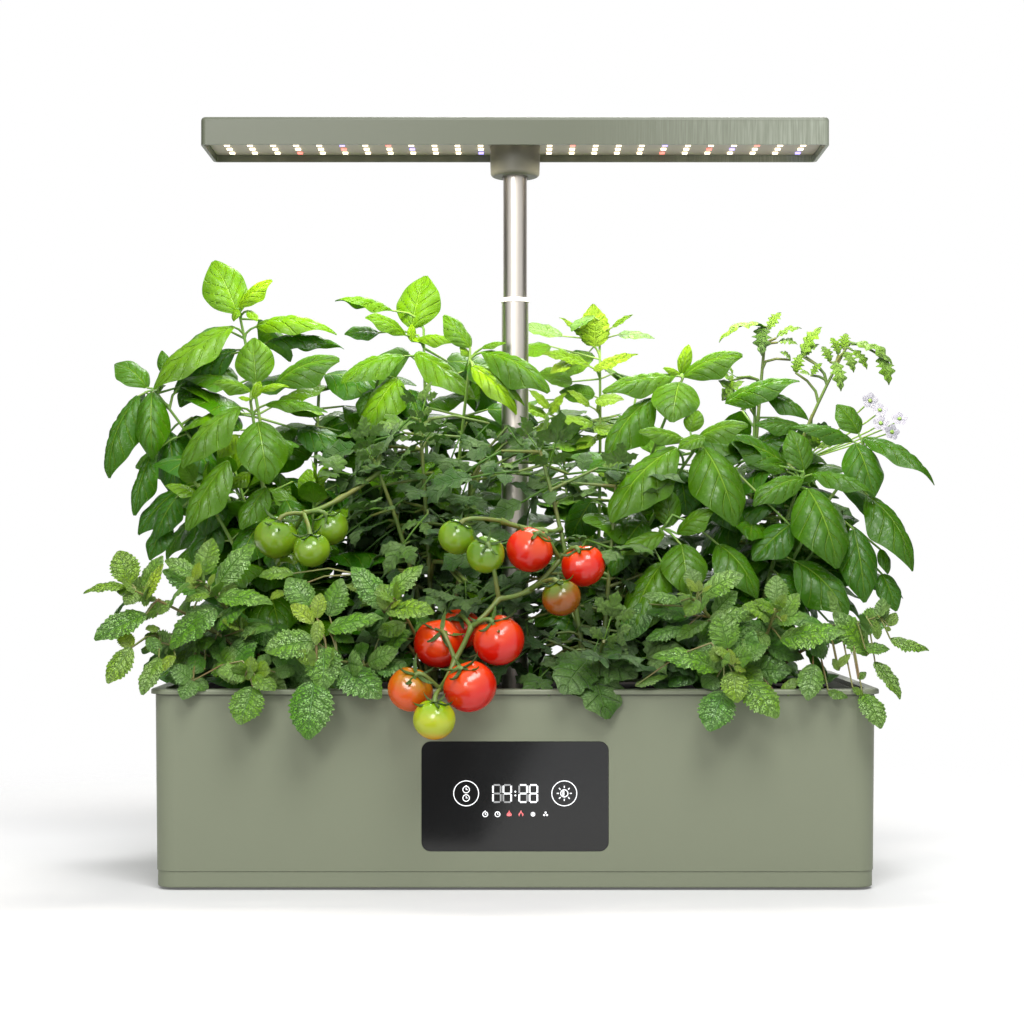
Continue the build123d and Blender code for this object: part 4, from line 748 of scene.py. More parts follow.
# Leaves set one by one: base and tip in mm, width share and tone, then roll and shape where they matter.
placedLeaves = {
    "basil_rear_left": (
        (-190, 50, 370, -208, 60, 407, 1.02, 0.6), (-188, 44, 373, -165, 40, 391, 0.59, 1),
        (-192, 44, 360, -243, 28, 316, 0.59, 0.6, 10), (-177, 50, 361, -121, 38, 354, 0.56, 0.62),
        (-170, 58, 351, -117, 48, 345, 0.4, 0.25, -20), (-193, 62, 346, -234, 56, 316, 0.57, 0.1),
        (-239, 52, 328, -243, 56, 345, 0.72, 0.4), (-189, 42, 372, -191, 38, 363, 0.84, 0.7),
        (-182, 44, 371, -175, 38, 363, 0.84, 0.85), (-250, 38, 318, -273, 46, 335, 1.06, 0.35, 10),
        (-255, 34, 312, -272, 22, 256, 0.49, 0.25, 25), (-245, 30, 314, -243, 20, 269, 0.68, 0.3),
        (-246, 34, 273, -256, 26, 231, 0.53, 0.2, 20), (-236, 46, 288, -230, 40, 242, 0.64, 0.08),
        (-230, 38, 248, -254, 30, 218, 0.68, 0.12), (-248, 42, 315, -238, 44, 320, 1.09, 0.5),
        (-244, 40, 309, -235, 40, 305, 1.09, 0.4), (-207, 64, 336, -192, 60, 321, 1.17, 0.35),
        (-221, 60, 326, -230, 56, 306, 0.92, 0.25), (-188, 50, 290, -205, 56, 304, 1.13, 0.2),
    ),
    "basil_middle_left": (
        (-169, -16, 317, -172, -8, 347, 1.15, 0.58), (-156, -18, 316, -114, -24, 331, 0.73, 0.42),
        (-162, -24, 302, -121, -34, 296, 0.47, 0.45, -10), (-166, -32, 290, -158, -44, 250, 1.03, 0.45),
        (-178, -28, 300, -213, -42, 260, 0.58, 0.5, 15), (-172, -20, 311, -196, -24, 316, 0.56, 0.6),
        (-185, -36, 265, -209, -48, 220, 0.68, 0.5, 15), (-169, -28, 306, -165, -26, 317, 0.81, 1),
        (-171, -28, 305, -179, -30, 306, 0.82, 1), (-165, -26, 311, -146, -30, 313, 0.66, 0.9),
        (-182, -10, 283, -194, -12, 268, 1.04, 1), (-173, -20, 258, -184, -22, 248, 1.23, 0.8),
        (-161, -30, 248, -176, -38, 221, 0.81, 0.4), (-223, -6, 242, -235, -12, 215, 0.97, 0.12),
        (-196, -10, 246, -202, -20, 217, 0.98, 0.15), (-156, 0, 281, -150, -4, 267, 1.21, 0.35),
        (-213, 6, 279, -200, 0, 255, 0.95, 0.1), (-164, -24, 227, -177, -34, 197, 1, 0.2),
        (-197, -10, 227, -208, -20, 196, 0.94, 0.15, 10), (-149, -18, 240, -139, -26, 211, 1.01, 0.25),
        (-228, 0, 228, -240, -6, 201, 0.93, 0.15, 15), (-184, -30, 201, -185, -40, 170, 0.99, 0.2),
    ),
    "basil_rear_centre": (
        (-71, 60, 361, -62, 68, 398, 1.14, 0.62), (-85, 60, 373, -123, 48, 378, 0.58, 0.55, 15),
        (-95, 72, 359, -118, 66, 357, 1.03, 0.2), (-75, 50, 355, -102, 42, 366, 0.66, 0.6),
        (-76, 44, 340, -117, 28, 320, 0.66, 0.5, 15), (-66, 46, 352, -38, 40, 348, 0.59, 0.7),
        (-67, 40, 342, -27, 24, 309, 0.72, 0.55, -5), (-80, 36, 324, -100, 24, 287, 0.98, 0.6),
        (-71, 52, 351, -71, 54, 363, 0.71, 1), (-70, 50, 352, -60, 46, 350, 0.83, 1),
        (-72, 44, 317, -63, 36, 292, 1.04, 0.15), (-94, 40, 317, -104, 34, 297, 1.12, 0.3),
        (-30, 14, 343, -48, 20, 365, 0.79, 0.55), (-22, 6, 339, 22, -8, 311, 0.55, 0.45, -10),
        (-22, 8, 342, -6, 6, 345, 0.7, 0.6), (-28, 2, 329, 1, -4, 297, 0.63, 1),
        (-27, 4, 330, 6, 0, 303, 0.47, 0.6), (-30, 14, 337, -37, 14, 343, 1.07, 0.8),
        (-30, 10, 332, -17, 4, 314, 0.91, 0.3),
    ),
    "lemon_balm": (
        (55, 58, 348, 54, 64, 378, 0.93, 0.9), (54, 62, 349, 45, 66, 359, 1.08, 0.8),
        (51, 58, 352, 30, 50, 367, 0.39, 0.8), (51, 54, 334, 18, 44, 341, 0.47, 0.7),
        (38, 50, 336, 24, 44, 328, 0.91, 0.95), (55, 54, 332, 78, 46, 340, 0.7, 0.9),
        (51, 56, 307, 35, 50, 317, 0.85, 0.85), (53, 52, 295, 27, 42, 295, 0.82, 0.7),
        (56, 54, 305, 67, 48, 314, 1.01, 0.9), (54, 50, 331, 84, 44, 341, 0.6, 0.95),
        (67, 56, 361, 81, 52, 369, 0.57, 0.6), (23, 50, 305, 9, 46, 317, 0.81, 0.75),
        (23, 52, 301, 35, 46, 315, 0.81, 0.8), (23, 50, 298, 0, 42, 306, 0.6, 0.6),
        (24, 52, 295, 15, 46, 285, 1.02, 0.7), (56, 50, 285, 71, 44, 292, 1.07, 0.8),
        (54, 50, 285, 42, 44, 276, 1.11, 0.75), (55, 46, 310, 74, 40, 310, 1.15, 0.8),
        (54, 44, 291, 71, 40, 285, 1.13, 0.7),
    ),
    "basil_middle_centre": (
        (105, -8, 322, 57, -22, 310, 0.52, 0.5, 12), (111, -5, 322, 149, -12, 335, 0.7, 0.5),
        (107, -18, 317, 101, -34, 290, 1.36, 0.45), (110, 0, 324, 115, 4, 344, 0.63, 0.95),
        (109, -6, 323, 97, -8, 327, 0.69, 0.9), (90, -14, 307, 60, -28, 265, 0.68, 0.4, 15),
        (107, -38, 280, 79, -46, 283, 0.69, 0.55), (118, -36, 280, 149, -44, 287, 0.73, 0.5),
        (121, -46, 280, 104, -50, 272, 0.98, 0.5), (113, -34, 284, 118, -30, 298, 1.19, 0.6),
        (103, -44, 273, 61, -64, 225, 0.72, 0.45, 15), (121, -44, 273, 139, -62, 223, 0.9, 0.4),
        (99, -50, 223, 96, -46, 248, 0.95, 0.42), (103, -54, 218, 126, -60, 233, 0.8, 0.5),
        (94, -56, 218, 66, -66, 204, 0.65, 0.5), (105, -60, 211, 108, -74, 179, 1.13, 0.45),
        (93, -60, 199, 72, -80, 152, 0.74, 0.45, 12), (130, -46, 211, 153, -60, 177, 1.02, 0.35, -10),
        (177, -34, 224, 153, -40, 201, 1.06, 0.2), (71, -50, 215, 61, -58, 191, 0.86, 0.2),
        (82, -44, 226, 71, -50, 212, 1.7, 0.25), (93, -30, 260, 85, -36, 233, 1.08, 0.15),
        (108, -24, 254, 111, -30, 230, 1.33, 0.12), (133, -20, 243, 144, -28, 219, 1.2, 0.12),
    ),
    "basil_middle_right": (
        (179, -6, 264, 139, -14, 281, 0.9, 0.3), (178, -14, 259, 151, -18, 263, 0.46, 0.35),
        (188, -20, 260, 180, -14, 286, 0.99, 0.4), (186, -26, 254, 153, -40, 236, 0.63, 0.36),
        (193, -24, 257, 231, -38, 243, 0.55, 0.35, -8), (189, -32, 247, 205, -52, 196, 0.91, 0.32),
        (189, 2, 290, 158, -4, 290, 0.63, 0.35), (222, -2, 280, 180, -8, 288, 0.54, 0.3),
        (227, 0, 285, 213, 4, 304, 1.15, 0.4), (229, -5, 281, 273, -20, 250, 0.56, 0.3, -10),
        (223, -14, 277, 232, -28, 242, 0.98, 0.26), (231, -14, 243, 257, -30, 194, 0.77, 0.3, -15),
        (219, -30, 221, 224, -42, 174, 0.75, 0.2), (181, -36, 200, 211, -50, 166, 0.87, 0.25),
        (239, -20, 192, 247, -26, 168, 0.92, 0.2), (238, -20, 208, 242, -24, 192, 0.74, 0.3),
        (140, 10, 306, 188, 0, 319, 0.65, 0.35), (168, 14, 312, 195, 8, 294, 0.73, 0.3),
        (232, -6, 279, 243, -10, 273, 1.23, 0.35), (156, 6, 274, 180, 2, 283, 1.15, 0.2),
        (170, -30, 192, 181, -36, 168, 1.15, 0.15), (206, -6, 234, 199, -12, 219, 1.77, 0.1),
        (164, -4, 255, 182, -10, 234, 1.27, 0.1), (213, -10, 221, 226, -20, 193, 1.02, 0.15),
        (180, -16, 201, 189, -26, 175, 1.11, 0.15),
    ),
    "tomato_rear_right": (
        (173, 60, 362, 140, 52, 350, 0.86, 0.9, 20, 8), (170, 60, 362, 169, 52, 341, 1.25, 0.45, 0, 8),
        (175, 62, 360, 184, 64, 372, 1.3, 0.95, 0, 8), (180, 60, 354, 197, 56, 360, 1.02, 0.95, 0, 8),
        (181, 60, 351, 194, 56, 349, 1.43, 0.9, 0, 8), (198, 58, 341, 211, 56, 361, 1.05, 0.95, 0, 8),
        (200, 58, 341, 209, 54, 349, 1.3, 0.9, 0, 8), (230, 54, 349, 257, 44, 333, 1.16, 0.85, -15, 8),
        (250, 50, 341, 254, 40, 320, 1.11, 0.8, 0, 8), (219, 52, 337, 222, 44, 316, 1.03, 0.8, 0, 8),
        (226, 52, 344, 231, 46, 329, 1.17, 0.8, 0, 8), (231, 52, 345, 240, 46, 331, 1.07, 0.9, 0, 8),
        (216, 54, 337, 211, 58, 348, 1.47, 0.95, 0, 8), (225, 54, 346, 228, 58, 357, 1.52, 0.95, 0, 8),
        (222, 54, 342, 217, 58, 354, 1.34, 0.95, 0, 8), (204, 56, 328, 211, 54, 336, 1.62, 0.9, 0, 8),
        (203, 56, 328, 195, 52, 329, 1.89, 0.85, 0, 8), (193, 58, 330, 197, 58, 343, 1.49, 0.9, 0, 8),
        (190, 60, 339, 182, 58, 344, 1.78, 0.9, 0, 8), (162, 58, 305, 144, 47, 325, 1.38, 0.8, 0, 0),
        (152, 50, 326, 134, 42, 336, 1.18, 0.85, 0, 4), (147, 52, 324, 130, 46, 332, 1.55, 0.85, 0, 8),
        (142, 54, 311, 157, 50, 323, 1.57, 0.8, 0, 8),
    ),
    "mint_front_left": (
        (-236, -100, 187, -244, -96, 207, 1.19, 0.72), (-238, -102, 185, -263, -108, 181, 0.6, 0.65),
        (-226, -106, 177, -215, -104, 199, 0.5, 1), (-229, -94, 185, -218, -88, 204, 0.84, 0.5),
        (-232, -104, 182, -237, -110, 174, 1.37, 0.75), (-224, -100, 176, -221, -98, 179, 1.84, 0.7),
        (-226, -102, 168, -255, -114, 153, 0.68, 0.4, -12), (-220, -96, 168, -211, -92, 176, 0.96, 0.6),
        (-227, -96, 159, -219, -92, 159, 1.29, 0.75), (-234, -106, 148, -242, -104, 158, 1.22, 1),
        (-234, -108, 148, -246, -120, 127, 0.76, 0.72, -10),
        (-217, -108, 142, -225, -120, 120, 0.67, 0.58, 10), (-207, -108, 143, -217, -112, 133, 0.82, 0.9),
        (-225, -98, 154, -218, -102, 143, 0.97, 0.35), (-197, -108, 128, -210, -110, 136, 1.52, 0.32),
        (-196, -110, 128, -201, -118, 117, 1.23, 0.38), (-196, -108, 129, -187, -110, 122, 1.47, 0.4),
        (-193, -84, 192, -189, -78, 215, 0.96, 0.58), (-198, -82, 191, -218, -80, 201, 0.81, 0.5),
        (-196, -78, 179, -220, -76, 195, 0.92, 0.25), (-185, -80, 185, -163, -74, 211, 0.83, 0.42),
        (-198, -90, 189, -195, -90, 200, 0.92, 1), (-197, -94, 184, -202, -96, 191, 1.38, 1),
        (-189, -92, 186, -185, -92, 193, 0.96, 1), (-184, -88, 178, -149, -96, 174, 0.79, 0.42),
        (-185, -92, 171, -210, -106, 147, 0.82, 0.36, -6), (-188, -96, 180, -203, -100, 176, 0.73, 0.68),
        (-172, -74, 150, -181, -70, 164, 1.51, 0.2), (-168, -76, 151, -142, -72, 160, 0.99, 0.22),
        (-186, -86, 152, -205, -88, 146, 0.87, 0.42), (-179, -80, 140, -190, -84, 146, 1.57, 0.3),
        (-163, -118, 131, -179, -124, 134, 1.37, 0.55), (-160, -116, 133, -160, -114, 143, 1.22, 0.75),
        (-160, -120, 129, -161, -120, 133, 1.77, 0.95), (-157, -120, 132, -144, -127, 123, 1.16, 0.6),
        (-158, -122, 125, -165, -130, 103, 1.22, 0.5), (-154, -112, 137, -150, -110, 144, 1.82, 0.42),
        (-146, -108, 133, -134, -108, 133, 1.49, 0.35), (-191, -96, 134, -201, -98, 141, 1.83, 0.25),
    ),
    "mint_front_centre": (
        (-123, -108, 163, -137, -106, 174, 0.92, 1), (-121, -106, 166, -119, -100, 181, 0.83, 0.95),
        (-119, -114, 165, -120, -120, 150, 0.74, 0.85), (-126, -96, 173, -141, -90, 190, 1.18, 0.4),
        (-114, -98, 167, -107, -92, 190, 0.99, 0.42), (-114, -104, 159, -80, -112, 166, 0.9, 0.4),
        (-121, -110, 152, -151, -118, 146, 1.03, 0.48, -6), (-116, -112, 149, -115, -124, 123, 1.08, 0.42),
        (-121, -121, 129, -124, -131, 94, 1.03, 0.28), (-106, -112, 136, -81, -124, 118, 1.16, 0.24),
        (-85, -100, 136, -66, -104, 137, 1.38, 0.15), (-111, -104, 156, -98, -108, 151, 1.14, 0.32),
        (-138, -80, 193, -159, -82, 191, 0.74, 0.6), (-143, -86, 182, -151, -90, 177, 1.1, 0.82),
        (-79, -96, 171, -101, -92, 197, 0.81, 0.28), (-78, -96, 179, -57, -90, 198, 0.82, 0.55),
        (-79, -106, 171, -82, -106, 184, 0.9, 0.9), (-76, -108, 172, -69, -110, 177, 0.81, 1),
        (-75, -106, 171, -65, -110, 175, 1.04, 0.48), (-78, -106, 170, -49, -116, 169, 0.77, 0.68),
        (-84, -92, 153, -72, -92, 159, 1.16, 0.3), (-101, -90, 141, -90, -92, 149, 1.68, 0.2),
        (-132, -96, 141, -140, -100, 130, 1.7, 0.22),
    ),
    "mint_front_right": (
        (112, -84, 185, 108, -80, 196, 1.4, 0.5), (116, -90, 179, 141, -92, 192, 0.91, 0.48),
        (102, -92, 176, 78, -96, 179, 0.63, 0.42), (112, -98, 177, 105, -104, 167, 1.2, 0.6),
        (112, -98, 182, 105, -98, 190, 0.87, 1), (115, -98, 182, 121, -100, 186, 0.92, 1),
        (113, -96, 182, 113, -96, 189, 1.07, 1), (120, -92, 165, 148, -98, 166, 0.74, 0.48),
        (105, -84, 166, 81, -84, 169, 0.62, 0.15), (105, -86, 159, 81, -90, 152, 0.66, 0.28),
        (161, -96, 175, 161, -90, 192, 1.15, 0.5), (160, -98, 170, 146, -102, 176, 0.98, 0.6),
        (164, -100, 166, 174, -96, 181, 1.02, 0.55), (161, -104, 170, 162, -104, 174, 1.18, 1),
        (163, -104, 164, 166, -104, 168, 1.32, 1), (163, -100, 153, 200, -112, 157, 0.98, 0.46),
        (159, -88, 153, 143, -88, 163, 1.3, 0.18), (157, -88, 147, 174, -92, 139, 1.16, 0.2),
        (129, -112, 148, 124, -108, 169, 1.27, 0.48), (124, -112, 135, 83, -120, 143, 0.64, 0.42, -8),
        (131, -118, 143, 118, -122, 148, 0.98, 0.8), (137, -112, 142, 153, -112, 149, 1.32, 0.38),
        (131, -122, 138, 129, -122, 148, 0.89, 1), (133, -120, 139, 141, -120, 145, 1.02, 0.95),
        (132, -122, 137, 139, -124, 134, 1.19, 0.9), (131, -120, 134, 133, -130, 116, 1.14, 0.8),
        (139, -118, 128, 157, -131, 107, 0.97, 0.55, 8), (126, -118, 122, 116, -131, 99, 1.13, 0.22),
        (123, -108, 130, 114, -112, 124, 1.81, 0.28), (217, -96, 143, 196, -94, 169, 0.81, 0.48),
        (225, -98, 164, 226, -94, 178, 0.93, 0.5), (222, -102, 153, 220, -102, 165, 0.75, 0.8),
        (229, -100, 161, 234, -98, 169, 1.19, 0.8), (227, -106, 158, 228, -106, 161, 1.87, 1),
        (230, -100, 153, 253, -104, 146, 0.76, 0.6), (214, -104, 147, 229, -104, 147, 1.24, 0.46),
        (220, -104, 139, 233, -116, 117, 0.73, 0.6, -12), (211, -112, 120, 220, -124, 100, 0.89, 0.5, -8),
        (205, -112, 124, 211, -114, 119, 1.04, 0.7), (181, -112, 138, 176, -124, 117, 0.91, 0.45),
        (190, -114, 122, 201, -118, 118, 1.1, 0.55), (197, -104, 136, 205, -104, 144, 0.9, 0.9),
        (198, -104, 134, 194, -104, 141, 1.11, 0.85), (162, -106, 117, 173, -104, 129, 0.7, 0.7),
        (209, -108, 129, 214, -108, 133, 1.31, 0.5), (73, -112, 125, 93, -112, 131, 0.55, 0.5),
    ),
    "tomato_middle": (
        (-56, -40, 231, -83, -62, 199, 0.89, 0.42), (-33, -70, 187, -57, -89, 175, 0.83, 0.35),
        (-34, -72, 187, -42, -91, 175, 1.12, 0.3), (-31, -74, 188, -30, -96, 170, 0.95, 0.4),
        (-30, -72, 188, -13, -83, 182, 1.14, 0.35), (29, -20, 274, 8, -34, 276, 1.67, 0.15),
        (28, -24, 265, 38, -46, 247, 1.38, 0.15), (-36, -10, 282, -46, -24, 258, 1.58, 0.25),
        (-44, 0, 296, -57, -8, 277, 1.78, 0.3), (-17, -8, 291, -33, -19, 274, 1.65, 0.2),
        (-5, -8, 289, 8, -19, 270, 1.69, 0.25), (15, -4, 289, -4, -12, 279, 1.91, 0.3),
        (23, -30, 254, 8, -44, 241, 1.75, 0.12), (-53, -20, 258, -67, -36, 240, 1.7, 0.2),
        (-29, -26, 257, -38, -45, 234, 1.52, 0.15), (-86, 6, 276, -105, -2, 268, 1.9, 0.2),
        (-65, 0, 276, -84, -11, 264, 1.82, 0.25),
    ),
    "tomato_front": (
        (20, -40, 172, 4, -45, 153, 1.9, 0.1), (28, -46, 140, 47, -51, 125, 1.81, 0.1),
        (20, -46, 136, 2, -51, 123, 2.03, 0.1), (7, -44, 163, 10, -49, 142, 2.13, 0.12),
        (31, -88, 143, 4, -110, 122, 0.89, 0.28, 0, 0), (38, -90, 146, 26, -109, 129, 1.26, 0.26, 0, 1),
        (45, -100, 141, 57, -128, 113, 1, 0.3, 0, 7), (48, -98, 144, 54, -95, 160, 1.94, 0.22, 0, 4),
        (38, -60, 155, 47, -65, 170, 1.69, 0.3, 0, 0), (40, -50, 172, 61, -55, 183, 1.3, 0.35, 0, 1),
        (26, -60, 155, 11, -74, 145, 1.31, 0.15, 0, 2), (7, -46, 187, -4, -65, 167, 1.26, 0.15, 0, 3),
    ),
}
# Where no grown leaf goes, as boxes in mm: round the pole, over the lid's swing and before the fruit.
clearings = (
    ((-18, 0, 0), (18, 44, 500)),
    ((170, 0, 0), (212, 80, 172)),
    ((-66, -160, 108), (48, -78, 226)),
)
room = ((-0.270, -0.150, 0.122), (0.262, 0.108, 0.400))   # grown leaves end inside it, in metres
# Darker leaves inside each plant, in metres: their number and foremost Y go by row.
fill = dict(leaves=(120, 160, 220), reach=(0.004, 0.036), tone=(-0.05, 0.25), front=(-0.085, -0.012, 0.040),
            below={"tomato_rear_right": 0.09})


def stemPath(foot, tip):
    lean = Vector((tip.x - foot.x, tip.y - foot.y, 0))
    way = lean.normalized()
    start = foot + way * stemFoot["out"] - Vector((0, 0, stemFoot["down"]))
    elbow = foot + way * stemFoot["elbow"] + lean * 0.3 + Vector((0, 0, (tip.z - foot.z) * 0.5))
    control = elbow * 2 - (start + tip) / 2
    path = []
    for number in range(stemSteps + 1):
        share = number / stemSteps
        path.append(start * (1 - share) ** 2 + control * 2 * share * (1 - share) + tip * share ** 2)
    return path


def belowTip(path, distance):
    # the point that far down the stem from its tip, and the way the stem runs there
    for upper, lower in zip(path[::-1], path[-2::-1]):
        step = (upper - lower).length
        if distance <= step:
            return upper.lerp(lower, distance / step), (upper - lower).normalized()
        distance -= step
    return None, None


def bow(start, control, end, shares):
    return [start.lerp(control, share).lerp(control.lerp(end, share), share) for share in shares]


def leafStalk(start, end, way, radius):
    points = bow(start, start + way * (end - start).length * 0.45, end, (0, 0.35, 0.7, 1))
    return [(point, radius * (1.25 - 0.4 * number / 3)) for number, point in enumerate(points)]


def outside(point):
    return any(not low < part < high for low, part, high in zip(room[0], point, room[1]))


def inClearing(*points):
    return any(all(low[axis] <= point[axis] * 1000 <= high[axis] for axis in range(3))
               for low, high in clearings for point in points)


def pairedLeaf(habit, kind, tone, node, way, turn, share, dice):
    # one leaf of a pair and its stalk; share runs from 0 at the newest pair to 1 at the full-grown ones
    length = habit["leaf"] * (habit["young"] + (1 - habit["young"]) * share ** 0.8)
    length *= dice.uniform(0.8, 1.15)
    turn = math.radians(turn + dice.uniform(-18, 18))
    out = Vector((math.cos(turn), math.sin(turn), 0))
    out = (out - way * out.dot(way)).normalized()
    opened = habit["close"] + (habit["open"] - habit["close"]) * share ** 0.7
    angle = math.radians(opened + dice.uniform(-10, 10))
    reach = way * math.cos(angle) + out * math.sin(angle)
    base = node + reach * length * habit["stalk"] * (0.4 + 0.6 * share)
    angle += math.radians(habit["sag"] * share * dice.uniform(0.4, 1.3))
    aim = way * math.cos(angle) + out * math.sin(angle)
    up = way * math.sin(angle) - out * math.cos(angle)
    up = (up + Vector(dice.uniform(-0.25, 0.25, 3))).normalized()
    end = base + aim * length
    if inClearing(*(base.lerp(end, part) for part in (0.25, 0.5, 0.75, 1))) or outside(end):
        return None
    shade = min(max(tone + 0.45 * (1 - share) - 0.15 + dice.uniform(-0.15, 0.15), 0), 1)
    leaf = (base, end, up, dice.uniform(0.88, 1.1), int(dice.integers(0, leafLooks[kind]["count"])), shade)
    return leaf, leafStalk(node, base, reach, habit["stalkRadius"] * (0.6 + 0.4 * share))


def fillLeaf(name, habit, kind, row, path, low, dice):
    # one dark leaf inside the plant and its stalk; the low ones lie near the deck
    node = path[1 if low else int(dice.integers(3, stemSteps + 1))]
    turn, rise = dice.uniform(0, 2 * math.pi), dice.uniform(-0.2 if low else -0.5, 0.3 if low else 0.7)
    reach = Vector((math.cos(turn) * 1.3, math.sin(turn), rise)).normalized()
    base = node + reach * dice.uniform(*fill["reach"]) * (1.6 if low else 1)
    aim = Vector((reach.x + dice.uniform(-0.5, 0.5), reach.y - 0.4, dice.uniform(-0.9, 0.3))).normalized()
    end = base + aim * habit["leaf"] * dice.uniform(0.75, 1.05)
    up = (Vector((0, -0.5, 1)) + Vector(dice.uniform(-0.4, 0.4, 3))).normalized()
    if (inClearing(*(base.lerp(end, part / 6) for part in range(7))) or outside(base) or outside(end)
            or end.z > path[-1].z - fill["below"].get(name, 0) or end.y < fill["front"][row]):
        return None
    shape = leafLooks[kind]["count"] + int(dice.integers(0, plainShapes))
    shade = max(dice.uniform(*fill["tone"]) + (end.z - 0.2) * 2, 0)
    leaf = (base, end, up, dice.uniform(0.95, 1.15), shape, shade)
    return leaf, leafStalk(node, base, reach, habit["stalkRadius"])


def placedLeaf(habit, paths, base, end, width, tone, roll, shape):
    # one leaf that is listed, with a stalk from the nearest stem
    points = (point for path in paths for point in path[3:])
    near = min(points, key=lambda point: (point + mm(0, 0, 6) - base).length)
    ahead = (end - base).normalized()
    up = Vector((0, -0.6, 0.8))
    up = Matrix.Rotation(math.radians(roll), 3, ahead) @ (up - ahead * up.dot(ahead)).normalized()
    stalk = leafStalk(near, base, Vector((0, 0, 1)), habit["stalkRadius"])
    return (base, end, up, width, shape, tone), stalk


def dressPlant(name, kind, column, row, tone, shoots, seed):
    habit = habits[kind]
    dice = np.random.default_rng(seed)
    foot = mm(podColumns[column], podRows[row], spongeTop)
    stems, leaves, paths = [], [], []

    def keep(grown):
        if grown:
            leaves.append(grown[0])
            stems.append(grown[1])

    for dx, dy, dz, heading, *skip in shoots:
        path = stemPath(foot, foot + mm(dx, dy, dz))
        paths.append(path)
        stems.append([(point, habit["stem"] * (1.15 - 0.6 * number / stemSteps))
                      for number, point in enumerate(path)])
        distance = habit["gap"] * 0.15
        for order in range(habit["pairs"]):
            node, way = belowTip(path, distance)
            if node is None or node.z < lowestNode:
                break
            share = min(order / (habit["pairs"] - 1) * 1.35, 1)
            for side in (0, 180) if not skip or order > skip[0] else ():
                keep(pairedLeaf(habit, kind, tone, node, way, heading + 90 * order + side, share, dice))
            distance += habit["gap"] * habit["grow"] ** order
    for number in range(fill["leaves"][row]):
        keep(fillLeaf(name, habit, kind, row, paths[number % len(paths)], number % 3 == 2, dice))
    for number, (bx, by, bz, tx, ty, tz, width, shade, *more) in enumerate(placedLeaves[name]):
        roll = more[0] if more else 0
        shape = more[1] if len(more) > 1 else number % leafLooks[kind]["count"]
        keep(placedLeaf(habit, paths, mm(bx, by, bz), mm(tx, ty, tz), width, shade, roll, shape))
    piece = growPlant(name + "_foliage", stems, leaves, kind)
    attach(piece, "garden")
    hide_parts(name)
    return len(leaves)


for number, (name, growth) in enumerate(plants.items()):
    print(name, dressPlant(name, *growth, 100 + number), "leaves")


def addPiece(name, points, faces, finish, body, slot, smooth=True):
    mesh = bpy.data.meshes.new(name)
    mesh.from_pydata([tuple(point) for point in points], [],
                     [tuple(int(corner) for corner in face) for face in faces])
    mesh.materials.append(finish)
    if smooth:
        mesh.shade_smooth()
    piece = newObject(name, mesh)
    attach(piece, body)
    return piece


# Tomatoes: middle from the tank's front edge and radius, in mm, and the joints of their stalks.
frontEdge = mm(0, -107.5, 122.7)
tomatoes = {
    "tomatoes_ripe": ((-27, -24, 3, 16), (-10, -5, 30, 16), (-47, 15, 27, 15.5), (-35, 47, 35, 13.5),
                      (9, 12, 85, 14.6), (42, 12, 75, 13.5)),
    "tomatoes_turning": ((-63, -18, 1, 13.8), (-48, -35, -15.7, 12.8), (28, -6, 56, 12)),
    "tomatoes_green": ((-36, 17, 93, 11.6), (-18, 3, 82, 11.8), (-151, 47, 93, 14.3), (-127, 32, 85, 11.6),
                       (-117, 54, 99, 11.4), (-148, 76, 77, 11)),
}
trussJoints = {
    "front": ((18, 32, 97), (28, 20, 79), (9, 16, 60), (-10, 6, 55), (-26.5, -4, 38), (-36.5, -3, 18),
              (-45, -18, 1)),
    "frontFork": ((18, 32, 97), (-9, 25, 103)),
    "left": ((-112, 66, 118), (-134, 52, 108)),
}
trussVines = {"front": "tomato_front", "left": "tomato_middle"}
tomatoLook = dict(rings=22, sides=30, flat=0.93, dimple=0.12, foot=0.03, lobe=0.035, lobes=5, oval=0.012)
tomatoFinishes = {
    "tomatoes_ripe": [fruitFinish("tomatoRed", tint(206, 24, 6), tint(214, 66, 8), tint(196, 14, 6))],
    "tomatoes_turning": [
        fruitFinish("tomatoOrange", tint(214, 82, 14), tint(168, 112, 14), tint(216, 78, 34)),
        fruitFinish("tomatoPale", tint(172, 184, 34), tint(122, 160, 12), tint(216, 142, 20)),
        fruitFinish("tomatoBrown", tint(138, 74, 12), tint(86, 104, 12), tint(128, 28, 8))],
    "tomatoes_green": [
        fruitFinish("tomatoGreen", tint(116, 150, 26), tint(84, 122, 14), tint(142, 160, 46))],
}


def crownOf(middle):
    joints = [frontEdge + mm(*joint) for chain in trussJoints.values() for joint in chain]
    nearest = min(joints, key=lambda joint: (joint - middle).length)
    return ((nearest - middle).normalized() * 0.35 + Vector((0, -0.6, 0.8))).normalized(), nearest


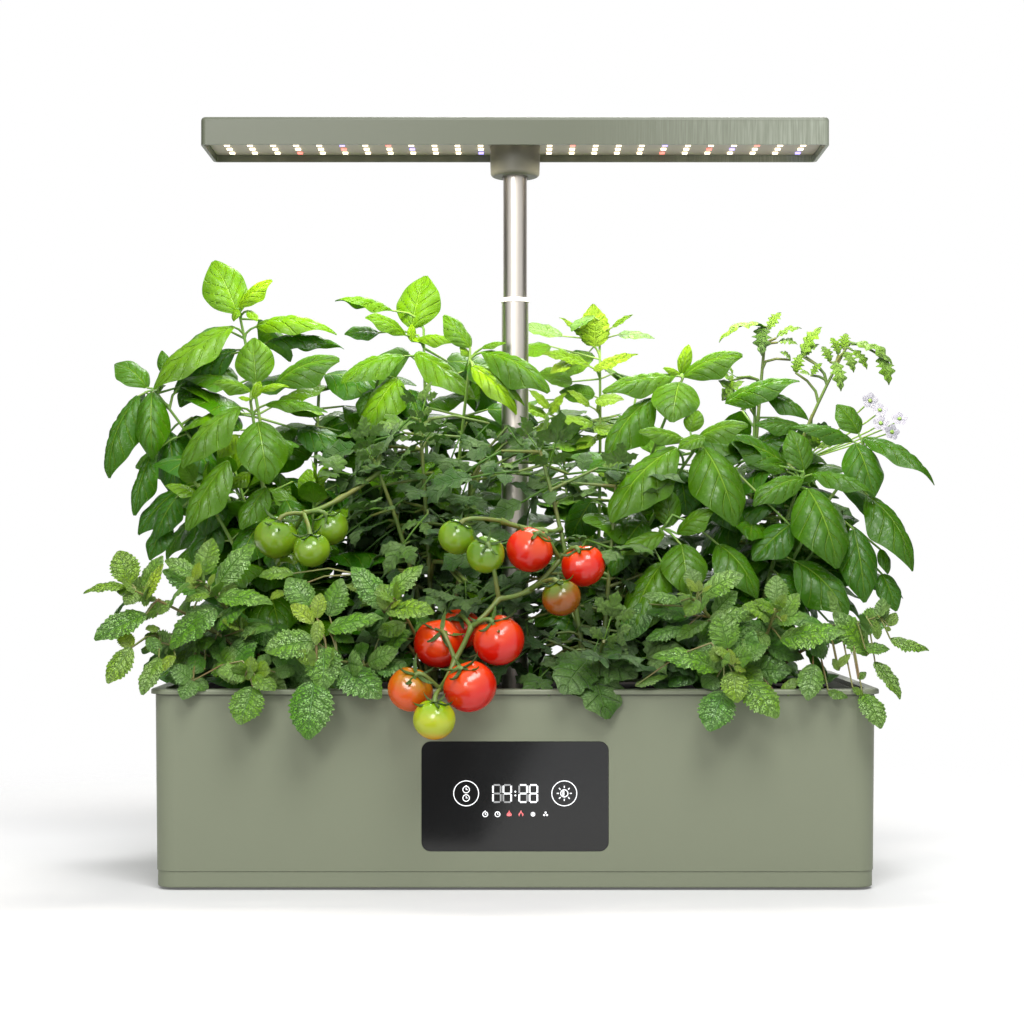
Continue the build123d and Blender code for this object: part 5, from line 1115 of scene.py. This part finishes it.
def tomatoSurface(middle, radius, dice):
    look = tomatoLook
    sides, rings = look["sides"], look["rings"] - 2
    down = np.linspace(0, math.pi, look["rings"])[:, None]
    turn = np.linspace(0, 2 * math.pi, sides, endpoint=False)[None, :]
    size = 1 - look["dimple"] * np.exp(-(down / 0.42) ** 2)
    size = size - look["foot"] * np.exp(-((math.pi - down) / 0.25) ** 2)
    shoulders = look["lobe"] * np.exp(-((down - 0.75) / 0.6) ** 2)
    size = size + shoulders * np.cos(look["lobes"] * turn + dice.uniform(0, 6)) * np.sin(down)
    size = size + look["oval"] * np.cos(2 * turn + dice.uniform(0, 6)) * np.sin(down)
    x, y = np.sin(down) * np.cos(turn) * size, np.sin(down) * np.sin(turn) * size
    z = np.broadcast_to(np.cos(down), x.shape) * size * look["flat"]
    tilt = np.array(crownOf(middle)[0].to_track_quat("Z", "Y").to_matrix())
    grid = np.stack((x, y, z), -1)
    points = [grid[0].mean(0)] + list(grid[1:-1].reshape(-1, 3)) + [grid[-1].mean(0)]
    points = np.array(points) @ tilt.T * radius + np.array(middle)
    after = [(side + 1) % sides for side in range(sides)]
    faces = [[0, 1 + side, 1 + after[side]] for side in range(sides)]
    for ring in range(rings - 1):
        first, second = 1 + ring * sides, 1 + (ring + 1) * sides
        faces += [[first + side, second + side, second + after[side], first + after[side]]
                  for side in range(sides)]
    last, lastRing = len(points) - 1, 1 + (rings - 1) * sides
    faces += [[last, lastRing + after[side], lastRing + side] for side in range(sides)]
    height = np.concatenate(([1.0], np.repeat((1 + np.cos(down[1:-1, 0])) / 2, sides), [0.0]))
    return points, faces, height


for name, fruit in tomatoes.items():
    dice = np.random.default_rng(len(name))
    points, faces, heights = [], [], []
    for x, y, z, radius in fruit:
        more, moreFaces, height = tomatoSurface(frontEdge + mm(x, y, z), radius / 1000, dice)
        faces += [[corner + len(points) for corner in face] for face in moreFaces]
        points += list(more)
        heights += list(height)
    looks = tomatoFinishes[name]
    piece = addPiece(name + "_skin", points, faces, looks[0], "garden", slotOf[name])
    for look in looks[1:]:
        piece.data.materials.append(look)
    each = len(faces) // len(fruit)
    piece.data.polygons.foreach_set("material_index", np.arange(len(faces)) // each % len(looks))
    crown = piece.data.attributes.new("crown", "FLOAT", "POINT")
    crown.data.foreach_set("value", np.array(heights, np.float32))
    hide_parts(name)


# Stalks of the fruit, in metres; knuckle and seat are shares of the stalk's and the fruit's radius.
stalkSizes = dict(truss=0.0016, knuckle=1.45, sag=0.0012, seat=0.87, bend=0.006,
                  twig=(0.0018, 0.0014, 0.0013, 0.0013, 0.0015))


def knuckled(points, radius):
    # a stalk with a swelling at each joint
    chain = [(points[0], radius * stalkSizes["knuckle"])]
    for point, following in zip(points, points[1:]):
        for share in (0.2, 0.5, 0.8):
            sag = Vector((0, 0, -stalkSizes["sag"])) * math.sin(share * math.pi)
            chain.append((point.lerp(following, share) + sag, radius))
        chain.append((following, radius * stalkSizes["knuckle"]))
    return chain


dice = np.random.default_rng(77)
stalks, sepals = [], []
for name, joints in trussJoints.items():
    places = [frontEdge + mm(*joint) for joint in joints]
    if name in trussVines:
        kind, column, row, tone, shoots = plants[trussVines[name]]
        foot = mm(podColumns[column], podRows[row], spongeTop)
        vine = min((point for dx, dy, dz, *_ in shoots for point in stemPath(foot, foot + mm(dx, dy, dz))),
                   key=lambda point: (point - places[0]).length)
        places.insert(0, vine)
    stalks.append(knuckled(places, stalkSizes["truss"]))
for fruit in tomatoes.values():
    for x, y, z, radius in fruit:
        middle, radius = frontEdge + mm(x, y, z), radius / 1000
        crown, joint = crownOf(middle)
        seat = middle + crown * radius * stalkSizes["seat"]
        bend = seat + crown * stalkSizes["bend"]
        stalks.append(list(zip(bow(seat, bend, joint, (0, 0.25, 0.5, 0.75, 1)), stalkSizes["twig"])))
        across = crown.orthogonal().normalized()
        start = dice.uniform(0, 72)
        for number in range(5):
            turn = math.radians(start + 72 * number + dice.uniform(-12, 12))
            out = Matrix.Rotation(turn, 3, crown) @ across
            base = seat + crown * 0.0008
            end = base + out * radius * dice.uniform(0.8, 1.05) + crown * radius * dice.uniform(0.0, 0.35)
            width, shape = dice.uniform(0.75, 1.0), int(dice.integers(0, leafLooks["sepal"]["count"]))
            sepals.append((base, end, crown, width, shape, dice.uniform(0.3, 0.7)))
piece = growPlant("tomato_trusses_stalks", stalks, sepals, "sepal", 8)
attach(piece, "garden")
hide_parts("tomato_trusses")

# A few small open flowers on the rear vine.
flowers = dict(places=((249, 46, 303), (262, 44, 297), (256, 40, 288), (243, 50, 310), (249, 42, 294)),
               vine=mm(200, 72, 270), petal=0.0056, stalk=0.0006, heart=((0.0008, 0.0016), (0.0016, 0.0009)))
petals, stems = [], []
for place in flowers["places"]:
    middle = mm(*place)
    facing = Vector((dice.uniform(-0.3, 0.3), -1, dice.uniform(0.1, 0.7))).normalized()
    across = facing.orthogonal().normalized()
    for number in range(5):
        out = Matrix.Rotation(math.radians(72 * number), 3, facing) @ across
        tip = middle + out * flowers["petal"] + facing * 0.001
        petals.append((middle, tip, facing, 1.0, number % leafLooks["petal"]["count"], 0.5))
    line = bow(flowers["vine"], middle - facing * 0.008, middle, (0, 0.3, 0.6, 0.85, 1))
    stems.append([(point, flowers["stalk"]) for point in line]
                 + [(middle + facing * ahead, radius) for ahead, radius in flowers["heart"]])
piece = growPlant("tomato_flowers", stems, petals, "petal")
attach(piece, "garden")
print("tomatoes, trusses and flowers ready")

# Lit marks on the touch panel, as X and Z in mm: thin slabs whose front stands just proud of the glass.
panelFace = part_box("panel_glass")[0][1]
panelMarks = {
    "middle": (0.15, 59.2), "front": 0.00012, "back": 0.0001,
    "keys": ((-29.8, 59.3), (30.0, 59.3)), "keyRadius": 7.6, "clock": 2.0, "sun": 2.2, "rays": (3.3, 4.6),
    "digits": ((-11.1, "ef"), (-4.75, "bcfg"), (4.9, "abged"), (11.2, "abcdefg")), "digitSize": (4.7, 10.4),
    "digitLine": 1.0, "digitGap": 0.42, "dots": (-1.15, 1.15), "dotRadius": 0.55,
    "iconRow": 46.6, "icons": (-18.2, -10.7, -3.6, 3.6, 10.9, 18.6), "iconClock": 1.5, "iconDrop": 1.6,
}
markFinishes = {
    "White": diodeFinish("markWhite", tint(238, 240, 242), 0.75),
    # the unlit segments get a faint painted glow
    "Dim": diodeFinish("markDim", tint(120, 122, 124), 0.25),
    "Red": diodeFinish("markRed", tint(226, 56, 62), 0.6),
}
markShapes = {kind: [] for kind in markFinishes}


def strip(kind, path, width, closed=False):
    # a flat line with mitred corners, in X and Z
    count = len(path)
    left, right = [], []
    for number, here in enumerate(path):
        before = path[number - 1] if number or closed else None
        after = path[(number + 1) % count] if number + 1 < count or closed else None
        ways = [Vector(second) - Vector(first) for first, second in ((before, here), (here, after))
                if first is not None and second is not None]
        way = sum((one.normalized() for one in ways), Vector((0, 0)))
        way.normalize()
        off = Vector((-way.y, way.x)) * width / 2 / max(ways[0].normalized().dot(way), 0.5)
        left.append(Vector(here) + off)
        right.append(Vector(here) - off)
    markShapes[kind].append((left, right, closed))


def around(x, z, radius, turn):
    return x + radius * math.cos(turn), z + radius * math.sin(turn)


def disc(kind, x, z, radius):
    rim = [Vector(around(x, z, radius, math.radians(30 * number))) for number in range(12)]
    markShapes[kind].append(([Vector((x, z))] * 12, rim, True))


def circle(x, z, radius, steps=32):
    return [around(x, z, radius, 2 * math.pi * number / steps) for number in range(steps)]


def clockIcon(x, z, radius, knob):
    strip("White", circle(x, z, radius, 20), 0.5, True)
    strip("White", [(x, z + radius * 0.6), (x, z), (x + radius * 0.5, z)], 0.42)
    if knob:
        strip("White", [(x, z + radius), (x, z + radius + 0.6)], 0.7)


def dropIcon(kind, x, z, size, filled):
    turns = [math.radians(degrees) for degrees in range(60, 301, 30)]
    belly = [(x + size * 0.8 * math.sin(turn), z - size * 0.2 - size * 0.8 * math.cos(turn))
             for turn in turns]
    strip(kind, [(x, z + size * 1.3)] + belly, 0.45, True)
    if filled:
        disc(kind, x, z - size * 0.2, size * 0.6)


# the two round keys: clocks on the left one, a light on the right one
for x, z in panelMarks["keys"]:
    strip("White", circle(x, z, panelMarks["keyRadius"], 48), 0.5, True)
keyX, keyZ = panelMarks["keys"][0]
clockIcon(keyX, keyZ + 2.3, panelMarks["clock"], True)
clockIcon(keyX, keyZ - 2.8, panelMarks["clock"], False)
keyX, keyZ = panelMarks["keys"][1]
strip("White", circle(keyX, keyZ, panelMarks["sun"], 24), 0.55, True)
strip("White", [(keyX - 0.55, keyZ + 1.5), (keyX - 0.55, keyZ - 1.5)], 1.1)
for number in range(8):
    ray = [around(keyX, keyZ, radius, math.radians(45 * number)) for radius in panelMarks["rays"]]
    strip("White", ray, 0.62)
# the four digits, whose unlit segments show faintly by a painted glow, and the two dots between them
middleX, middleZ = panelMarks["middle"]
wide, tall = panelMarks["digitSize"]
segments = {
    "a": ((-1, 1), (1, 1)), "b": ((1, 1), (1, 0)), "c": ((1, 0), (1, -1)), "d": ((1, -1), (-1, -1)),
    "e": ((-1, -1), (-1, 0)), "f": ((-1, 0), (-1, 1)), "g": ((-1, 0), (1, 0)),
}
for x, lit in panelMarks["digits"]:
    for letter, ends in segments.items():
        first, second = (Vector((x + endX * wide / 2, middleZ + endZ * tall / 2)) for endX, endZ in ends)
        inset = (second - first).normalized() * panelMarks["digitGap"]
        strip("White" if letter in lit else "Dim", [first + inset, second - inset], panelMarks["digitLine"])
for off in panelMarks["dots"]:
    disc("White", middleX, middleZ + off, panelMarks["dotRadius"])
# the row of signs below
row = panelMarks["iconRow"]
clockLeft, clockRight, dropFull, dropEmpty, ringed, leafLike = panelMarks["icons"]
clockIcon(clockLeft, row, panelMarks["iconClock"], True)
clockIcon(clockRight, row, panelMarks["iconClock"], False)
dropIcon("Red", dropFull, row, panelMarks["iconDrop"], True)
dropIcon("Red", dropEmpty, row, panelMarks["iconDrop"], False)
disc("White", ringed, row, 0.7)
strip("White", circle(ringed, row, 1.2, 16), 0.35, True)
for number in range(3):
    disc("White", *around(leafLike, row, 1.0, math.radians(90 + 120 * number)), 0.62)


def markMesh(shapes):
    # every strip becomes a closed slab between two depths
    points, faces = [], []
    for left, right, closed in shapes:
        first, count = len(points), len(left)
        for y in (panelFace - panelMarks["front"], panelFace + panelMarks["back"]):
            points += [(point.x / 1000, y, point.y / 1000) for point in left + right]
        back = 2 * count
        for here in range(count if closed else count - 1):
            after = (here + 1) % count
            l0, l1, r0, r1 = first + here, first + after, first + count + here, first + count + after
            faces += [[l0, l1, r1, r0], [l0 + back, r0 + back, r1 + back, l1 + back],
                      [l1, l0, l0 + back, l1 + back], [r0, r1, r1 + back, r0 + back]]
        if not closed:
            for here, flip in ((0, False), (count - 1, True)):
                l0, r0 = first + here, first + count + here
                end = [l0, r0, r0 + back, l0 + back]
                faces.append(end[::-1] if flip else end)
    return points, faces


for kind, shapes in markShapes.items():
    slot = "led_red" if kind == "Red" else "led_white"
    piece = addPiece("panelMarks" + kind, *markMesh(shapes), markFinishes[kind], "garden", slot, False)
    work = bmesh.new()
    work.from_mesh(piece.data)
    bmesh.ops.remove_doubles(work, verts=work.verts, dist=1e-7)
    bmesh.ops.dissolve_degenerate(work, edges=work.edges, dist=1e-7)
    bmesh.ops.recalc_face_normals(work, faces=work.faces)
    work.to_mesh(piece.data)
    work.free()
print("panel marks ready")

# Floor, world, lights and camera, in metres.
studio = {
    "world": 0.5, "floor": tint(206, 206, 206), "speck": tint(225, 225, 225), "floorLift": 0.12,
    "floorFade": (0.42, 0.8), "camera": (0.0, -1.3875, 0.2045), "focal": 73.83, "shift": (-0.003, 0.042),
}
# Cards that only show in glossy surfaces: level and corners.
flags = {
    "flagLeft": (0.12, [(-1.2, -0.35, 0.02), (-1.2, 1.2, 0.02), (-1.2, 1.2, 1.6), (-1.2, -0.35, 1.6)]),
    "flagRight": (0.14, [(1.2, -0.25, 0.02), (1.2, 1.2, 0.02), (1.2, 1.2, 1.6), (1.2, -0.25, 1.6)]),
    "flagPanel": (0.12, [(-0.0243, -0.28, 0.002), (0.0351, -1.134, 0.002), (0.06, -1.5, 0.002),
                         (-0.5, -1.5, 0.002), (-0.3, -0.28, 0.002)]),
    "flagFront": (2.1, [(-1.1, -2.2, 0.4), (1.1, -2.2, 0.4), (1.1, -2.2, 1.1), (-1.1, -2.2, 1.1)]),
}
# Soft lights: place, aim, size and energy in watts.
softLights = {
    "keyLight": ((0.28, -1.1, 1.75), (0, 0, 0.25), (0.9, 0.9), 28),
    "fillLight": ((-0.5, -1.5, 0.95), (0, 0, 0.2), (0.5, 0.6), 10),
    "rearLight": ((0.2, 0.95, 1.35), (0, 0, 0.28), (0.7, 0.5), 14),
}
growLight = dict(across=0.115, back=-0.003, high=0.468, size=(0.15, 0.045), energy=0.8,
                 colour=(1.0, 0.93, 0.82))
scene = bpy.context.scene
scene.view_settings.view_transform = "Standard"
for old in [item for item in scene.objects if item.type in ("LIGHT", "CAMERA")]:
    bpy.data.objects.remove(old)


def plane(name, corners, finish):
    mesh = bpy.data.meshes.new(name)
    mesh.from_pydata(corners, [], [tuple(range(len(corners)))])
    mesh.materials.append(finish)
    card = newObject(name, mesh)
    return card


floorFinish, tree, shader = startMaterial("paleFloor", {"Roughness": 0.9, "Specular IOR Level": 0.1})
speckle = span(tree, noise(tree, objectPlace(tree), 40.0), 0.0, 1.0, 0.0, 0.02)
join(tree, blendColour(tree, speckle, studio["floor"], studio["speck"]), shader, "Base Color")
glow = wire(tree, "ShaderNodeEmission", {"Color": (1, 1, 1, 1), "Strength": studio["floorLift"]})
seen = wire(tree, "ShaderNodeLightPath", out="Is Camera Ray")
none = wire(tree, "ShaderNodeEmission", {"Strength": 0.0})
lift = wire(tree, "ShaderNodeMixShader", {0: seen, 1: none, 2: glow})
both = wire(tree, "ShaderNodeAddShader", {0: shader.outputs[0], 1: lift})
away = wire(tree, "ShaderNodeVectorMath", {0: objectPlace(tree)}, "Value", operation="LENGTH")
fade = span(tree, away, *studio["floorFade"], 0.0, 1.0, True)
air = wire(tree, "ShaderNodeBsdfTransparent")
clearAway = wire(tree, "ShaderNodeMixShader", {0: fade, 1: both, 2: air})
tree.links.new(clearAway, tree.nodes["Material Output"].inputs["Surface"])
plane("floor", [(-1, -1, 0), (1, -1, 0), (1, 1, 0), (-1, 1, 0)], floorFinish)


def cardFinish(name, level):
    material = bpy.data.materials.new(name)
    material.use_nodes = True
    tree = material.node_tree
    tree.nodes.remove(tree.nodes["Principled BSDF"])
    warm = (level, level * 0.96, level * 0.9, 1)
    glow = wire(tree, "ShaderNodeEmission", {"Color": warm, "Strength": 1.0})
    tree.links.new(glow, tree.nodes["Material Output"].inputs["Surface"])
    return material


for name, (level, corners) in flags.items():
    card = plane(name, corners, cardFinish(name, level))
    card.visible_camera = card.visible_diffuse = card.visible_shadow = card.visible_transmission = False

world = bpy.data.worlds.new("studio")
world.use_nodes = True
scene.world = world
tree = world.node_tree
path = wire(tree, "ShaderNodeLightPath", out=None)
bounced = calc(tree, "MAXIMUM", path["Is Glossy Ray"], path["Is Transmission Ray"])
clear = calc(tree, "MAXIMUM", path["Is Camera Ray"], bounced)
level = span(tree, clear, 0.0, 1.0, studio["world"], 1.0)
backdrop = tree.nodes["Background"]
backdrop.inputs["Color"].default_value = (1, 1, 1, 1)
tree.links.new(level, backdrop.inputs["Strength"])


def softLight(name, place, aim, size, energy, colour=(1, 1, 1)):
    light = bpy.data.lights.new(name, "AREA")
    light.shape = "RECTANGLE"
    light.size, light.size_y = size
    light.energy = energy
    light.color = colour
    lamp = newObject(name, light)
    lamp.location = place
    lamp.rotation_euler = (Vector(aim) - Vector(place)).to_track_quat("-Z", "Y").to_euler()
    return lamp


for name, setting in softLights.items():
    softLight(name, *setting)
for side in (-1, 1):
    place = (side * growLight["across"], growLight["back"], growLight["high"])
    grow = softLight(f"growLight{side}", place, (place[0], 0, 0), growLight["size"], growLight["energy"],
                     growLight["colour"])
    grow.visible_glossy = False
    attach(grow, "lamp")                  # the diodes' light moves up and down with the bar

camera = bpy.data.cameras.new("view")
camera.sensor_width = 36
camera.lens = studio["focal"]
camera.shift_x, camera.shift_y = studio["shift"]
viewer = newObject("view", camera)
viewer.location = studio["camera"]
viewer.rotation_euler = (math.radians(90), 0, 0)
scene.camera = viewer

print("scene ready")
